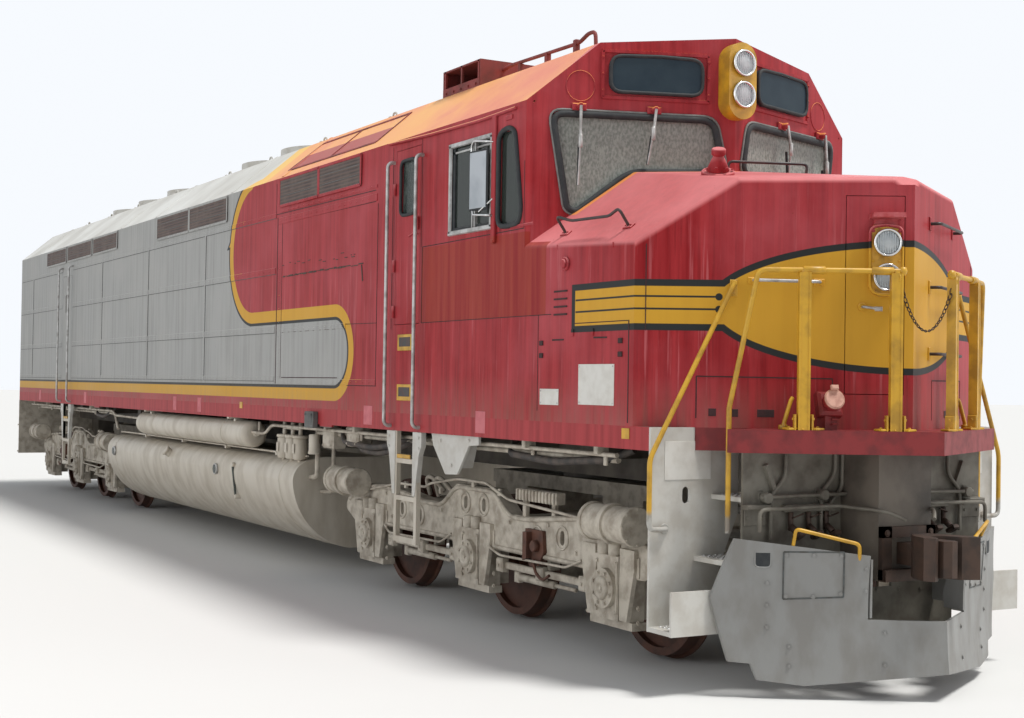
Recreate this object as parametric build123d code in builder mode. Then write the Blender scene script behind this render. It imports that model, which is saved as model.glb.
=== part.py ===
from build123d import *
import os
from math import atan2, cos, hypot, radians, sin, tan

os.makedirs("parts", exist_ok=True)

# A six-axle cowl-bodied passenger diesel locomotive in millimetres.
# X runs to the front, Y to the left, Z up. The origin is midway between the coupler faces,
# on the centreline, at the level of the wheels' flange tips.

# Rail and wheels
flange_depth = 27
rail_top = flange_depth
wheel_r = 508
wheel_width = 140
back_to_back = 1353
rim_thick = 60
plate_thick = 40
hub_r = 135
axle_r = 95
journal_r = 80
axle_end_y = 1190

# Trucks
truck_x = 6858
axle_pitch = 2070
frame_y = 1150
frame_thick = 120
frame_bottom = rail_top + 600
frame_end = 2720
box_width = 300
box_top = rail_top + 740
box_inner_y = 960
box_outer_y = 1250
cap_r = 140
cap_thick = 40
binder_bottom = rail_top + 234
binder_thick = 56
leg_width = 90
transom_x = 910
transom_length = 580
transom_bottom = rail_top + 800
transom_height = 100
transom_top = rail_top + 1030
end_transom_length = 80
bolster_length = 2500
bolster_half = 350
bolster_top = rail_top + 1150
motor_half = 440
motor_bottom = rail_top + 230
cylinder_r = 125
cylinder_length = 560
cylinder_y = 1360
cylinder_z = rail_top + 985
shoe_thick = 48
shoe_gap = 8
shoe_width = 90
pin_r = 22
running_gap = 0.3
moving_gap = 5

# Body shell
half_width = 1540
wall = 50
sill_bottom = rail_top + 1518
deck_top = rail_top + 1670
eave_z = rail_top + 4050
shoulder_y = 1010
shoulder_z = rail_top + 4510
crown_z = rail_top + 4600
rear_x = -10130
hood_x = 5390
cab_side_x = 8200
cab_ridge_x = 8720
nose_side_x = 9660
nose_ridge_x = 10620
front_wall = 60
coupler_face = 11020

# Underframe
deck_thick = 60
side_sill = 60
centre_sill_half = 450
centre_sill_bottom = rail_top + 1200
beam_length = 160
beam_half = 1200
beam_bottom = rail_top + 1400
centre_plate_r = 300
jack_pad_x = (4400, -4500)
jack_pad_length = 300
jack_pad_thick = 25

# Cab
cab_floor_z = rail_top + 2420
floor_thick = 50
cab_floor_x = 7950
front_wall_bottom = rail_top + 2700
glass_thick = 10
glass_gap = 0.3

# Doors: the gap round each leaf, and the hinge barrels on its inner face
door_gap = 5
barrel_r = 11
barrel_out = 12
barrel_length = 60
hinge_inset = 220

# Front end
side_plate_x = 9870
platform_thick = 150
step_inner_y = half_width - 630
lip_outer = (10220, half_width - 360)
prow_x = 10900
end_plate_x = 10180
end_plate_thick = 20
end_plate_bottom = rail_top + 560
end_plate_half = half_width - 490
step_plate_thick = 20
body_front_x = side_plate_x - step_plate_thick
step_plate_bottom = rail_top + 358
step_thick = 30
rail_r = 17
rail_top_z = rail_top + 2690

# Rear end
rear_step_low = rail_top + 600
rear_step_high = rail_top + 1080
rear_step_y = half_width - 240
rear_step_width = 420
rear_step_depth = 250
rear_platform_half = 700

# Draft gear and couplers
draft_half = 230
draft_bottom = rail_top + 700
draft_rear = 9650
draft_front = 10560
coupler_z = rail_top + 876
shank_half = 70

# Engine, seats and control stand
engine_x = -900
engine_length = 6600
engine_half = 560
engine_height = 1750
seat_x = 6850
seat_y = 1050
seat_height = 480
seat_half = 240
stand_x = 7300
stand_y = 700
stand_half = 230

# Fuel tank
tank_rear_x = -4030
tank_front_x = 3400


def unit(x, y):
    """Return the direction of (x, y) as a unit pair."""
    size = hypot(x, y)
    return x / size, y / size


def body_outline(inset=0):
    """Draw the body's cross-section, walls and roof, moved inward by inset, as a closed face."""
    slope = atan2(shoulder_z - eave_z, half_width - shoulder_y)
    crown = atan2(crown_z - shoulder_z, shoulder_y)
    half = half_width - inset
    eave = eave_z - inset * tan(slope / 2)
    knee = (slope - crown) / 2
    side = shoulder_y - inset * sin((slope + crown) / 2) / cos(knee)
    top = shoulder_z - inset * cos((slope + crown) / 2) / cos(knee)
    with BuildLine() as outline:
        Polyline((-half, deck_top), (-half, eave), (-side, top), (0, crown_z - inset / cos(crown)),
                 (side, top), (half, eave), (half, deck_top), close=True)
    make_face(outline.edges())


def v_outline(ridge_x, corner_x, rear):
    """Draw a V-fronted plan, its ridge on the centreline, back to the given x, as a closed face."""
    with BuildLine() as outline:
        Polyline((rear, -half_width), (corner_x, -half_width), (ridge_x, 0),
                 (corner_x, half_width), (rear, half_width), close=True)
    make_face(outline.edges())


def finish(part, name):
    """Label a piece and write it."""
    part.label = name
    export_step(part, f"parts/{name}.step")


# Front facets, seen from the front: local x towards the ridge, local y up from the rail
cab_dir = unit(cab_ridge_x - cab_side_x, half_width)
nose_dir = unit(nose_ridge_x - nose_side_x, half_width)
cab_facet = Plane(origin=(cab_ridge_x, 0, rail_top), x_dir=(*cab_dir, 0), z_dir=(cab_dir[1], -cab_dir[0], 0))
nose_facet = Plane(origin=(nose_ridge_x, 0, rail_top), x_dir=(*nose_dir, 0),
                   z_dir=(nose_dir[1], -nose_dir[0], 0))

# Doors: name, hinge edge (x, y on the outer face), direction to the latch edge, inward direction,
# width, bottom and top above the rail, window (from the hinge, width, bottom, top above the rail),
# which is cut through where it is glazed and is a recess with its pane painted over where it isn't
side_door = dict(width=480, bottom=2440, top=3950, glazed=True)
engine_door = dict(width=600, bottom=1900, top=3560, glazed=False)
doors = {
    "cab_door_right": dict(hinge=(6420, -half_width), along=(-1, 0), inward=(0, 1), **side_door,
                           window=(100, 290, 3390, 3850)),
    "cab_door_left": dict(hinge=(6420, half_width), along=(-1, 0), inward=(0, -1), **side_door,
                          window=(100, 290, 3390, 3850)),
    "engine_room_door_right": dict(hinge=(-6800, -half_width), along=(1, 0), inward=(0, 1), **engine_door,
                                   window=(160, 280, 2980, 3260)),
    "engine_room_door_left": dict(hinge=(-6800, half_width), along=(1, 0), inward=(0, -1), **engine_door,
                                  window=(160, 280, 2980, 3260)),
    "rear_door": dict(hinge=(rear_x, 320), along=(0, -1), inward=(1, 0), width=640, bottom=1900,
                      top=3750, window=(180, 280, 3150, 3500), glazed=False),
    "nose_door": dict(hinge=(nose_ridge_x - 65 * nose_dir[0], -65 * nose_dir[1]),
                      along=(-nose_dir[0], -nose_dir[1]), inward=(-nose_dir[1], nose_dir[0]),
                      width=375, bottom=1905, top=3195, window=None),
}


def door_plane(door):
    """Return the door's own plane: x from hinge to latch, z up, at the hinge edge of the outer face."""
    return Plane(origin=(*door["hinge"], rail_top), x_dir=(*door["along"], 0), z_dir=(0, 0, 1))


def inward_sign(door):
    """Return 1 where the door plane's y points inward, and -1 where it points outward."""
    ax, ay = door["along"]
    ix, iy = door["inward"]
    return 1 if -ay * ix + ax * iy > 0 else -1


def hinge_levels(door):
    """Return the heights of a door's two hinges above the rail."""
    return door["bottom"] + hinge_inset, door["top"] - hinge_inset


def cut_doorway(door, depth):
    """Cut the doorway, the leaf and its gap all round, through a wall."""
    width = door["width"] + 2 * door_gap
    height = door["top"] - door["bottom"] + 2 * door_gap
    plane = door_plane(door)
    with Locations(plane.location):
        with Locations((width / 2 - door_gap, 0, door["bottom"] - door_gap + height / 2)):
            Box(width, 2 * depth, height, mode=Mode.SUBTRACT)


def add_wall_hinges(door):
    """Add the wall's half of each hinge: the upper barrel and its leaf on the wall's inner face."""
    sign = inward_sign(door)
    with Locations(door_plane(door).location):
        for level in hinge_levels(door):
            with Locations((-door_gap / 2, sign * (wall + barrel_out), level + barrel_length / 2)):
                Cylinder(barrel_r, barrel_length)
            with Locations((-door_gap - 20, sign * (wall + 3), level + barrel_length / 2)):
                Box(40, 6, barrel_length)
            with Locations((-door_gap / 2 - 8, sign * (wall + barrel_out - 3), level + barrel_length / 2)):
                Box(12, 18, barrel_length)


def door_leaf(door):
    """Make a door leaf with its half of each hinge: the lower barrel and its leaf."""
    sign = inward_sign(door)
    height = door["top"] - door["bottom"]
    plane = door_plane(door)
    with BuildPart() as leaf:
        with Locations(plane.location):
            with Locations((door["width"] / 2, sign * wall / 2, door["bottom"] + height / 2)):
                Box(door["width"], wall, height)
            if door["window"]:
                start, width, low, high = door["window"]
                with Locations((start + width / 2, 0, (low + high) / 2)):
                    Box(width, 4 * wall if door["glazed"] else wall, high - low, mode=Mode.SUBTRACT)
            for level in hinge_levels(door):
                mid = level - barrel_length / 2 - running_gap
                with Locations((-door_gap / 2, sign * (wall + barrel_out), mid)):
                    Cylinder(barrel_r, barrel_length)
                with Locations((22, sign * (wall + 3), mid)):
                    Box(44, 6, barrel_length)
                with Locations((5, sign * (wall + barrel_out - 3), mid)):
                    Box(12, 18, barrel_length)
    return leaf


def door_pane(door):
    """Make the glass of a door's window."""
    sign = inward_sign(door)
    start, width, low, high = door["window"]
    with BuildPart() as pane:
        with Locations(door_plane(door).location):
            with Locations((start + width / 2, sign * wall / 2, (low + high) / 2)):
                Box(width - 2 * glass_gap, glass_thick, high - low - 2 * glass_gap)
    return pane


# Underframe: deck plate, side sills, centre sill, cross beams, the two centre plates
# and the draft gear pockets under both ends
with BuildPart() as underframe:
    with BuildSketch(Plane.XY.offset(deck_top - deck_thick)):
        with BuildLine():
            Polyline((rear_x, -half_width), (body_front_x, -half_width),
                     (body_front_x, half_width), (rear_x, half_width), close=True)
        make_face()
    extrude(amount=deck_thick)
    body_length = body_front_x - rear_x
    body_mid = (body_front_x + rear_x) / 2
    with Locations((body_mid, half_width - side_sill / 2, (sill_bottom + deck_top) / 2),
                   (body_mid, side_sill / 2 - half_width, (sill_bottom + deck_top) / 2)):
        Box(body_length, side_sill, deck_top - sill_bottom)
    with Locations((body_mid, 0, (centre_sill_bottom + deck_top) / 2)):
        Box(body_length, 2 * centre_sill_half, deck_top - centre_sill_bottom)
    with Locations([(x, 0, (beam_bottom + deck_top) / 2)
                    for x in (-9300, -truck_x, -5200, -3400, -1600, 200, 2000, 3800, 5200, truck_x, 8600)]):
        Box(beam_length, 2 * beam_half, deck_top - beam_bottom)
    with Locations((truck_x, 0, centre_sill_bottom), (-truck_x, 0, centre_sill_bottom)):
        Cylinder(centre_plate_r, centre_sill_bottom - bolster_top - running_gap,
                 align=(Align.CENTER, Align.CENTER, Align.MAX))
    for side in (-1, 1):
        with Locations([(x, side * (half_width - side_sill / 2), sill_bottom) for x in jack_pad_x]):
            Box(jack_pad_length, side_sill, jack_pad_thick, align=(Align.CENTER, Align.CENTER, Align.MAX))
    for end, body_end in ((-1, -rear_x), (1, body_front_x)):
        with Locations((end * (draft_rear + draft_front) / 2, 0, draft_bottom)):
            Box(draft_front - draft_rear, 2 * draft_half, centre_sill_bottom - draft_bottom,
                align=(Align.CENTER, Align.CENTER, Align.MIN))
        with Locations((end * (body_end + draft_front) / 2, 0, centre_sill_bottom)):
            Box(draft_front - body_end, 2 * draft_half, deck_top - platform_thick - centre_sill_bottom,
                align=(Align.CENTER, Align.CENTER, Align.MIN))
finish(underframe.part, "underframe")


# Hood side walls, each with its engine-room doorway
for side, name in ((-1, "right"), (1, "left")):
    door = doors[f"engine_room_door_{name}"]
    with BuildPart() as hood_wall:
        with Locations(((rear_x + wall + hood_x) / 2, side * (half_width - wall / 2), (deck_top + eave_z) / 2)):
            Box(hood_x - rear_x - wall, wall, eave_z - deck_top)
        cut_doorway(door, wall)
        add_wall_hinges(door)
    finish(hood_wall.part, f"hood_wall_{name}")


# Hood roof, closed at the rear gable, with round wells for the fans
fan_r = 600
fan_blades = 8
fan_blade_length = 480
fans = {"radiator_fan_1": -7300, "radiator_fan_2": -5720, "radiator_fan_3": -4140,
        "brake_fan_1": -760, "brake_fan_2": 680}
shroud_thick = 16
shroud_top = rail_top + 4756
shroud_bottom = crown_z - 200
roof_gap = 0.3
well_r = fan_r + shroud_thick + roof_gap
stack_x = 2500
stack_length = 700
stack_width = 360
stack_height = 300

with BuildPart() as hood_roof:
    with BuildSketch(Plane.YZ.offset(rear_x)):
        body_outline()
    extrude(amount=hood_x - rear_x)
    with BuildSketch(Plane.YZ.offset(rear_x + wall)):
        body_outline(wall)
    extrude(amount=hood_x - rear_x - wall, mode=Mode.SUBTRACT)
    with Locations((0, 0, eave_z)):
        Box(4 * coupler_face, 4 * half_width, 2 * crown_z, align=(Align.CENTER, Align.CENTER, Align.MAX),
            mode=Mode.SUBTRACT)
    with Locations([(x, 0, crown_z) for x in fans.values()]):
        Cylinder(well_r, 8 * wall, mode=Mode.SUBTRACT)
    with Locations((stack_x, 0, crown_z)):
        Box(stack_length, stack_width, 8 * wall, mode=Mode.SUBTRACT)
finish(hood_roof.part, "hood_roof")


# Rear wall with its doorway, between the side walls
with BuildPart() as rear_wall:
    with Locations((rear_x + wall / 2, 0, (deck_top + eave_z) / 2)):
        Box(wall, 2 * half_width, eave_z - deck_top)
    cut_doorway(doors["rear_door"], wall)
    add_wall_hinges(doors["rear_door"])
finish(rear_wall.part, "rear_wall")


# Cab side walls with their doorways and windows: sliding window, then the pointed quarter window
side_window = dict(x=(6980, 7680), z=(3150, 3860))
quarter_window = [(7800, 3150), (8200 - 60, 3150), (8200 - 60, 3230), (8035, 3860), (7800, 3860)]

with BuildPart() as side_window_cut:
    with BuildSketch(Plane.XZ.offset(-2 * half_width)):
        with Locations((sum(side_window["x"]) / 2, rail_top + sum(side_window["z"]) / 2)):
            RectangleRounded(side_window["x"][1] - side_window["x"][0],
                             side_window["z"][1] - side_window["z"][0], 40)
    extrude(amount=4 * half_width)

with BuildPart() as quarter_window_cut:
    with BuildSketch(Plane.XZ.offset(-2 * half_width)):
        with BuildLine():
            Polyline(*[(x, rail_top + z) for x, z in quarter_window], close=True)
        make_face()
    extrude(amount=4 * half_width)


def cab_wall_outline(side):
    """Draw a cab side wall in plan, up to the V front."""
    outer = side * half_width
    inner = side * (half_width - wall)
    reach = cab_side_x + wall * cab_dir[0] / cab_dir[1]
    with BuildLine() as outline:
        Polyline((hood_x, outer), (cab_side_x, outer), (reach, inner), (hood_x, inner), close=True)
    make_face(outline.edges())


for side, name in ((-1, "right"), (1, "left")):
    door = doors[f"cab_door_{name}"]
    with BuildPart() as cab_wall:
        with BuildSketch(Plane.XY.offset(deck_top)):
            cab_wall_outline(side)
        extrude(amount=eave_z - deck_top)
        add(side_window_cut.part, mode=Mode.SUBTRACT)
        add(quarter_window_cut.part, mode=Mode.SUBTRACT)
        cut_doorway(door, wall)
        add_wall_hinges(door)
    finish(cab_wall.part, f"cab_wall_{name}")


# Bulkhead between the engine room and the cab
with BuildPart() as cab_bulkhead:
    with BuildSketch(Plane.YZ.offset(hood_x)):
        body_outline(wall)
    extrude(amount=wall)
finish(cab_bulkhead.part, "cab_bulkhead")


# Cab roof, cut to the V front
with BuildPart() as cab_roof:
    with BuildSketch(Plane.YZ.offset(hood_x)):
        body_outline()
    extrude(amount=cab_ridge_x - hood_x)
    with BuildSketch(Plane.YZ.offset(hood_x)):
        body_outline(wall)
    extrude(amount=cab_ridge_x - hood_x, mode=Mode.SUBTRACT)
    with Locations((0, 0, eave_z)):
        Box(4 * coupler_face, 4 * half_width, 2 * crown_z, align=(Align.CENTER, Align.CENTER, Align.MAX),
            mode=Mode.SUBTRACT)
    with BuildSketch(Plane.XY.offset(deck_top)):
        v_outline(cab_ridge_x, cab_side_x, hood_x)
    extrude(amount=2 * crown_z, mode=Mode.INTERSECT)
finish(cab_roof.part, "cab_roof")


# Cab front: a V of flat plate inside the walls and roof, with the two windshields cut.
# Windshield corners on the facet: distance from the ridge, height above the rail
windshield = [(170, 3961), (1430, 3961), (1310, 3255), (1240, 3228), (825, 3545), (275, 3560), (100, 3590)]
windshield_round = 35


def v_plate(ridge_x, corner_x, thick, half):
    """Draw a V-shaped plate in plan, its outer faces on the V and its ends at half width."""
    slope = (ridge_x - corner_x) / half_width
    depth = thick * hypot(1, slope)
    end_x = ridge_x - slope * half
    with BuildLine() as outline:
        Polyline((end_x, -half), (ridge_x, 0), (end_x, half), (end_x - depth, half),
                 (ridge_x - depth, 0), (end_x - depth, -half), close=True)
    make_face(outline.edges())


def windshield_face(gap=0):
    """Draw one windshield opening on the cab facet, smaller all round by gap."""
    with BuildLine() as outline:
        Polyline(*[(-s, z) for s, z in windshield], close=True)
    make_face(outline.edges())
    if gap:
        offset(amount=-gap)


with BuildPart() as cab_front:
    with BuildSketch(Plane.XY.offset(front_wall_bottom)):
        v_plate(cab_ridge_x, cab_side_x, front_wall, half_width - wall)
    extrude(amount=crown_z - front_wall_bottom)
    with BuildSketch(Plane.YZ.offset(hood_x)):
        body_outline(wall)
    extrude(amount=cab_ridge_x - hood_x, mode=Mode.INTERSECT)
    with BuildSketch(cab_facet):
        windshield_face()
    cuts = extrude(amount=-2 * front_wall, mode=Mode.SUBTRACT)
    mirror(cuts, about=Plane.XZ, mode=Mode.SUBTRACT)
finish(cab_front.part, "cab_front")


# Glass: the two windshields and the side windows
with BuildPart() as cab_glass:
    with BuildSketch(cab_facet.offset(-front_wall / 2)):
        windshield_face(glass_gap)
    shield = extrude(amount=-glass_thick)
    mirror(shield, about=Plane.XZ)
    for side in (-1, 1):
        with BuildSketch(Plane.XZ.offset(-side * (half_width - wall / 2) - glass_thick / 2)):
            with Locations((sum(side_window["x"]) / 2, rail_top + sum(side_window["z"]) / 2)):
                RectangleRounded(side_window["x"][1] - side_window["x"][0] - 2 * glass_gap,
                                 side_window["z"][1] - side_window["z"][0] - 2 * glass_gap, 39)
            with BuildLine():
                Polyline(*[(x, rail_top + z) for x, z in quarter_window], close=True)
            make_face()
        extrude(amount=glass_thick)
finish(cab_glass.part, "cab_glass")


# Door panes, one node on each door's body
for name, door in doors.items():
    finish(door_leaf(door).part, name)
    if name.startswith("cab"):
        finish(door_pane(door).part, name.replace("door", "door_glass"))


# Cab floor
with BuildPart() as cab_floor:
    with Locations(((hood_x + wall + cab_floor_x) / 2, 0, cab_floor_z - floor_thick / 2)):
        Box(cab_floor_x - hood_x - wall, 2 * (half_width - wall), floor_thick)
finish(cab_floor.part, "cab_floor")


# Nose: the envelope's top faces, each plane through three points of the right half, and mirrored
nose_tops = {
    "chamfer": ((cab_side_x, -half_width, 2960), (nose_side_x, -half_width, 2880), (10020, -963, 3307)),
    "top": ((8456, -781, 3545), (10020, -963, 3311), (8690, 0, 3590)),
}
nose_round = 45
nose_top_front = rail_top + 3325
bevel_drop = 110
bevel_slope = 52


def top_plane(points, side):
    """Return the plane through three points above the rail, its normal up, mirrored to the left if side is 1."""
    a, b, c = (Vector(x, -side * y, rail_top + z) for x, y, z in points)
    normal = (b - a).cross(c - a)
    if normal.Z < 0:
        normal = -normal
    return Plane(origin=a, x_dir=b - a, z_dir=normal)


def nose_envelope(inset=0, back=0, margin=0):
    """Make the nose's closed envelope, its top faces moved inward by inset and its rear back by back."""
    side_y = half_width + margin
    with BuildPart() as envelope:
        with BuildSketch(Plane.XY.offset(deck_top - margin)):
            with BuildLine():
                Polyline((cab_side_x - back, -side_y), (nose_side_x + margin, -side_y), (nose_ridge_x + margin, 0),
                         (nose_side_x + margin, side_y), (cab_side_x - back, side_y),
                         (cab_ridge_x - back, 0), close=True)
            make_face()
        extrude(amount=crown_z)
        for points in nose_tops.values():
            for side in (-1, 1):
                split(bisect_by=top_plane(points, side).offset(-inset), keep=Keep.BOTTOM)
    return envelope


nose_inside = nose_envelope(inset=wall, back=10 * wall, margin=wall).part

with BuildPart() as nose_top:
    add(nose_envelope().part)
    split(bisect_by=Plane(origin=(nose_ridge_x, 0, nose_top_front - bevel_drop),
                          z_dir=(sin(radians(bevel_slope)), 0, cos(radians(bevel_slope)))), keep=Keep.BOTTOM)
    high_edges = [e for e in nose_top.edges()
                  if e.center().Z > rail_top + 2850 and e.center().X > cab_ridge_x + wall]
    fillet(high_edges, nose_round)
    add(nose_inside, mode=Mode.SUBTRACT)
finish(nose_top.part, "nose_top")


with BuildPart() as nose_side_walls:
    for side in (-1, 1):
        outer = side * half_width
        inner = side * (half_width - wall)
        with BuildSketch(Plane.XY.offset(deck_top)):
            with BuildLine():
                Polyline((cab_side_x, outer), (nose_side_x, outer),
                         (nose_side_x + wall * nose_dir[0] / nose_dir[1], inner),
                         (cab_side_x + wall * cab_dir[0] / cab_dir[1], inner), close=True)
            make_face()
        extrude(amount=crown_z - deck_top)
    add(nose_inside, mode=Mode.INTERSECT)
finish(nose_side_walls.part, "nose_side_walls")


with BuildPart() as nose_front:
    with BuildSketch(Plane.XY.offset(deck_top)):
        v_plate(nose_ridge_x, nose_side_x, wall, half_width - wall)
    extrude(amount=crown_z - deck_top)
    add(nose_inside, mode=Mode.INTERSECT)
    cut_doorway(doors["nose_door"], wall)
    add_wall_hinges(doors["nose_door"])
finish(nose_front.part, "nose_front")


# Front platform: the deck ahead of the nose, its front edge a V with a deep lip
def facet_x(y):
    """Return the nose facet's place at a distance from the centreline."""
    return nose_ridge_x - (nose_ridge_x - nose_side_x) * y / half_width


horn_x = lip_outer[0] - 20
facet_corner = half_width - 350

with BuildPart() as front_platform:
    with BuildSketch(Plane.XY.offset(deck_top - platform_thick)):
        with BuildLine():
            Polyline((side_plate_x - step_plate_thick, 0), (side_plate_x - step_plate_thick, -step_inner_y),
                     (side_plate_x, -step_inner_y), (side_plate_x, -facet_corner),
                     (facet_x(facet_corner), -facet_corner), (facet_x(step_inner_y), -step_inner_y),
                     (horn_x, -step_inner_y), (horn_x, -lip_outer[1]), (lip_outer[0], -lip_outer[1]),
                     (prow_x, 0), close=True)
        half = make_face()
        mirror(half, about=Plane.XZ)
    extrude(amount=platform_thick)
finish(front_platform.part, "front_platform")


# Corner steps at the front: back plate, three treads and a low end plate.
# Treads: outer and inner edge from the centreline, top above the rail, front end
treads = [(half_width, half_width - 510, 390, 10100), (half_width - 350, half_width - 580, 830, end_plate_x),
          (half_width - 490, half_width - 680, 1230, end_plate_x)]
stringer_top = rail_top + 640
back_plate_inner = half_width - 710
back_plate_notch = (half_width - 540, 700)
back_plate_foot = half_width - 510

with BuildPart() as front_steps:
    for side in (-1, 1):
        with BuildSketch(Plane.YZ.offset(side_plate_x - step_plate_thick)):
            with BuildLine():
                Polyline((side * half_width, step_plate_bottom), (side * half_width, deck_top),
                         (side * facet_corner, deck_top), (side * facet_corner, deck_top - platform_thick),
                         (side * back_plate_inner, deck_top - platform_thick),
                         (side * back_plate_inner, rail_top + 1100),
                         (side * back_plate_notch[0], rail_top + back_plate_notch[1]),
                         (side * back_plate_foot, step_plate_bottom), close=True)
            make_face()
            with Locations((side * (half_width - 284), rail_top + 1229)):
                SlotOverall(110, 60, rotation=90, mode=Mode.SUBTRACT)
            with Locations((side * (half_width - 363), rail_top + 1352)):
                SlotOverall(70, 32, mode=Mode.SUBTRACT)
        extrude(amount=step_plate_thick)
        for outer_y, inner_y, level, end_x in treads:
            with Locations(((side_plate_x + end_x) / 2, side * (outer_y + inner_y) / 2, rail_top + level)):
                Box(end_x - side_plate_x, outer_y - inner_y, step_thick,
                    align=(Align.CENTER, Align.CENTER, Align.MAX))
        outer_y, inner_y, level, end_x = treads[0]
        with Locations((end_x, side * (outer_y + inner_y) / 2, step_plate_bottom)):
            Box(step_plate_thick, outer_y - inner_y, stringer_top - step_plate_bottom,
                align=(Align.MIN, Align.CENTER, Align.MIN))
finish(front_steps.part, "front_steps")


# Grey end plate under the platform, notched for the draft gear

with BuildPart() as front_end_plate:
    with BuildSketch(Plane.YZ.offset(end_plate_x)):
        with Locations((0, (end_plate_bottom + deck_top - platform_thick) / 2)):
            Rectangle(2 * end_plate_half, deck_top - platform_thick - end_plate_bottom)
            Rectangle(2 * draft_half, deck_top, mode=Mode.SUBTRACT)
    extrude(amount=end_plate_thick)
finish(front_end_plate.part, "front_end_plate")


# Couplers: shank, head and knuckle. The head's plan runs from the pulling face back to the shank.
# Points: distance back from the coupler's foremost point, distance from the centreline
head_outline = [(140, 40), (45, 85), (0, 200), (60, 215), (190, 130), (330, shank_half), (330, -shank_half),
                (230, -150), (100, -190), (40, -150), (60, -105), (175, -60), (175, 0)]
knuckle_outline = [(165, 10), (60, 35), (5, 5), (0, -45), (35, -85), (70, -90), (165, -40)]
head_height = 270
knuckle_height = 230

with BuildPart() as couplers:
    for end in (-1, 1):
        for points, height in ((head_outline, head_height), (knuckle_outline, knuckle_height)):
            with BuildSketch(Plane.XY.offset(coupler_z - height / 2)):
                with BuildLine():
                    Polyline(*[(end * (coupler_face - x), end * y) for x, y in points], close=True)
                make_face()
            extrude(amount=height)
        shank_end = coupler_face - 320
        with Locations((end * (draft_front + shank_end) / 2, 0, coupler_z)):
            Box(shank_end - draft_front, 2 * shank_half, 2 * shank_half)
finish(couplers.part, "couplers")


# Snowplow: a curved mouldboard on each side of the prow, parallel to the nose facets,
# trimmed to its outline as seen from the front, with the coupler notch. Stations: distance
# ahead of the nose facet, height above the rail
plow_stations = [(300, 60), (270, 520), (300, 985)]
plow_thick = 18
plow_length = 2000
plow_notch_half = 420
plow_notch_bottom = 480
plow_half = half_width - 280
plow_outline = [(0, 150), (plow_half - 490, 60), (plow_half - 240, 90), (plow_half - 210, 190), (plow_half - 90, 200),
                (plow_half, 600), (plow_half - 110, 980), (plow_notch_half, 885), (plow_notch_half, plow_notch_bottom),
                (0, plow_notch_bottom)]
plow_brace_y = plow_half - 640
plow_brace_height = 300
plow_brace_x = end_plate_x + end_plate_thick
plow_brace_end = (nose_ridge_x - (plow_brace_y * nose_dir[0] - plow_stations[1][0] + plow_thick / 2) / nose_dir[1])

with BuildPart() as snowplow:
    across = Plane(origin=(nose_ridge_x, 0, rail_top), x_dir=(nose_dir[1], -nose_dir[0], 0),
                   z_dir=(-nose_dir[0], -nose_dir[1], 0))
    with BuildSketch(across):
        with BuildLine():
            face = ThreePointArc(*plow_stations)
            back = ThreePointArc(*[(n - plow_thick, z) for n, z in plow_stations])
            Line(face @ 0, back @ 0)
            Line(face @ 1, back @ 1)
        make_face()
    extrude(amount=plow_length, both=True)
    with BuildSketch(Plane.YZ.offset(end_plate_x - plow_length)):
        with BuildLine():
            Polyline(*[(-y, rail_top + z) for y, z in plow_outline], close=True)
        make_face()
    extrude(amount=2 * plow_length, mode=Mode.INTERSECT)
    mirror(snowplow.part, about=Plane.XZ)
    for side in (-1, 1):
        with Locations((plow_brace_x, side * plow_brace_y, rail_top + 640)):
            Box(plow_brace_end - plow_brace_x, plow_thick, plow_brace_height,
                align=(Align.MIN, Align.CENTER, Align.CENTER))
finish(snowplow.part, "snowplow")


# Fuel tank: flat ends, a wide flat bottom and round sides. Half outline: from the centreline, above the rail
tank_bottom = 205
tank_flat = 850
tank_side = (1480, 900)
tank_low = (1330, 500)
tank_shoulder = (1330, 1110)
tank_top_half = 1150
tank_top_z = centre_sill_bottom - rail_top

with BuildPart() as fuel_tank:
    with BuildSketch(Plane(origin=(tank_rear_x, 0, rail_top), x_dir=(0, 1, 0), z_dir=(1, 0, 0))):
        with BuildLine():
            Line((0, tank_bottom), (tank_flat, tank_bottom))
            ThreePointArc((tank_flat, tank_bottom), tank_low, tank_side)
            ThreePointArc(tank_side, (1440, 1030), tank_shoulder)
            Line(tank_shoulder, (tank_top_half, 1150))
            Line((tank_top_half, 1150), (centre_sill_half, 1150))
            Line((centre_sill_half, 1150), (centre_sill_half, tank_top_z))
            Line((centre_sill_half, tank_top_z), (0, tank_top_z))
            Line((0, tank_top_z), (0, tank_bottom))
        half_tank = make_face()
        mirror(half_tank, about=Plane.YZ)
    extrude(amount=tank_front_x - tank_rear_x)
finish(fuel_tank.part, "fuel_tank")


# Main air reservoirs under the side sills, each hung by two straps
reservoir_r = 150
reservoir_y = half_width - 155
reservoir_z = rail_top + 1340
reservoir_rear = -2400
reservoir_front = 2000
strap_width = 60
reservoir_end_round = 70

with BuildPart() as air_reservoirs:
    for side in (-1, 1):
        with Locations(Location(((reservoir_rear + reservoir_front) / 2, side * reservoir_y, reservoir_z), (0, 90, 0))):
            Cylinder(reservoir_r, reservoir_front - reservoir_rear)
    fillet(air_reservoirs.edges().filter_by(GeomType.CIRCLE), reservoir_end_round)
    for side in (-1, 1):
        for strap_x in (reservoir_rear + 500, reservoir_front - 500):
            with Locations((strap_x, side * reservoir_y, reservoir_z)):
                Box(strap_width, reservoir_r, sill_bottom - reservoir_z, align=(Align.CENTER, Align.CENTER, Align.MIN))
            with Locations((strap_x, side * (reservoir_y + half_width) / 2, sill_bottom)):
                Box(strap_width, half_width - reservoir_y, 20, align=(Align.CENTER, Align.CENTER, Align.MAX))
finish(air_reservoirs.part, "air_reservoirs")


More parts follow.
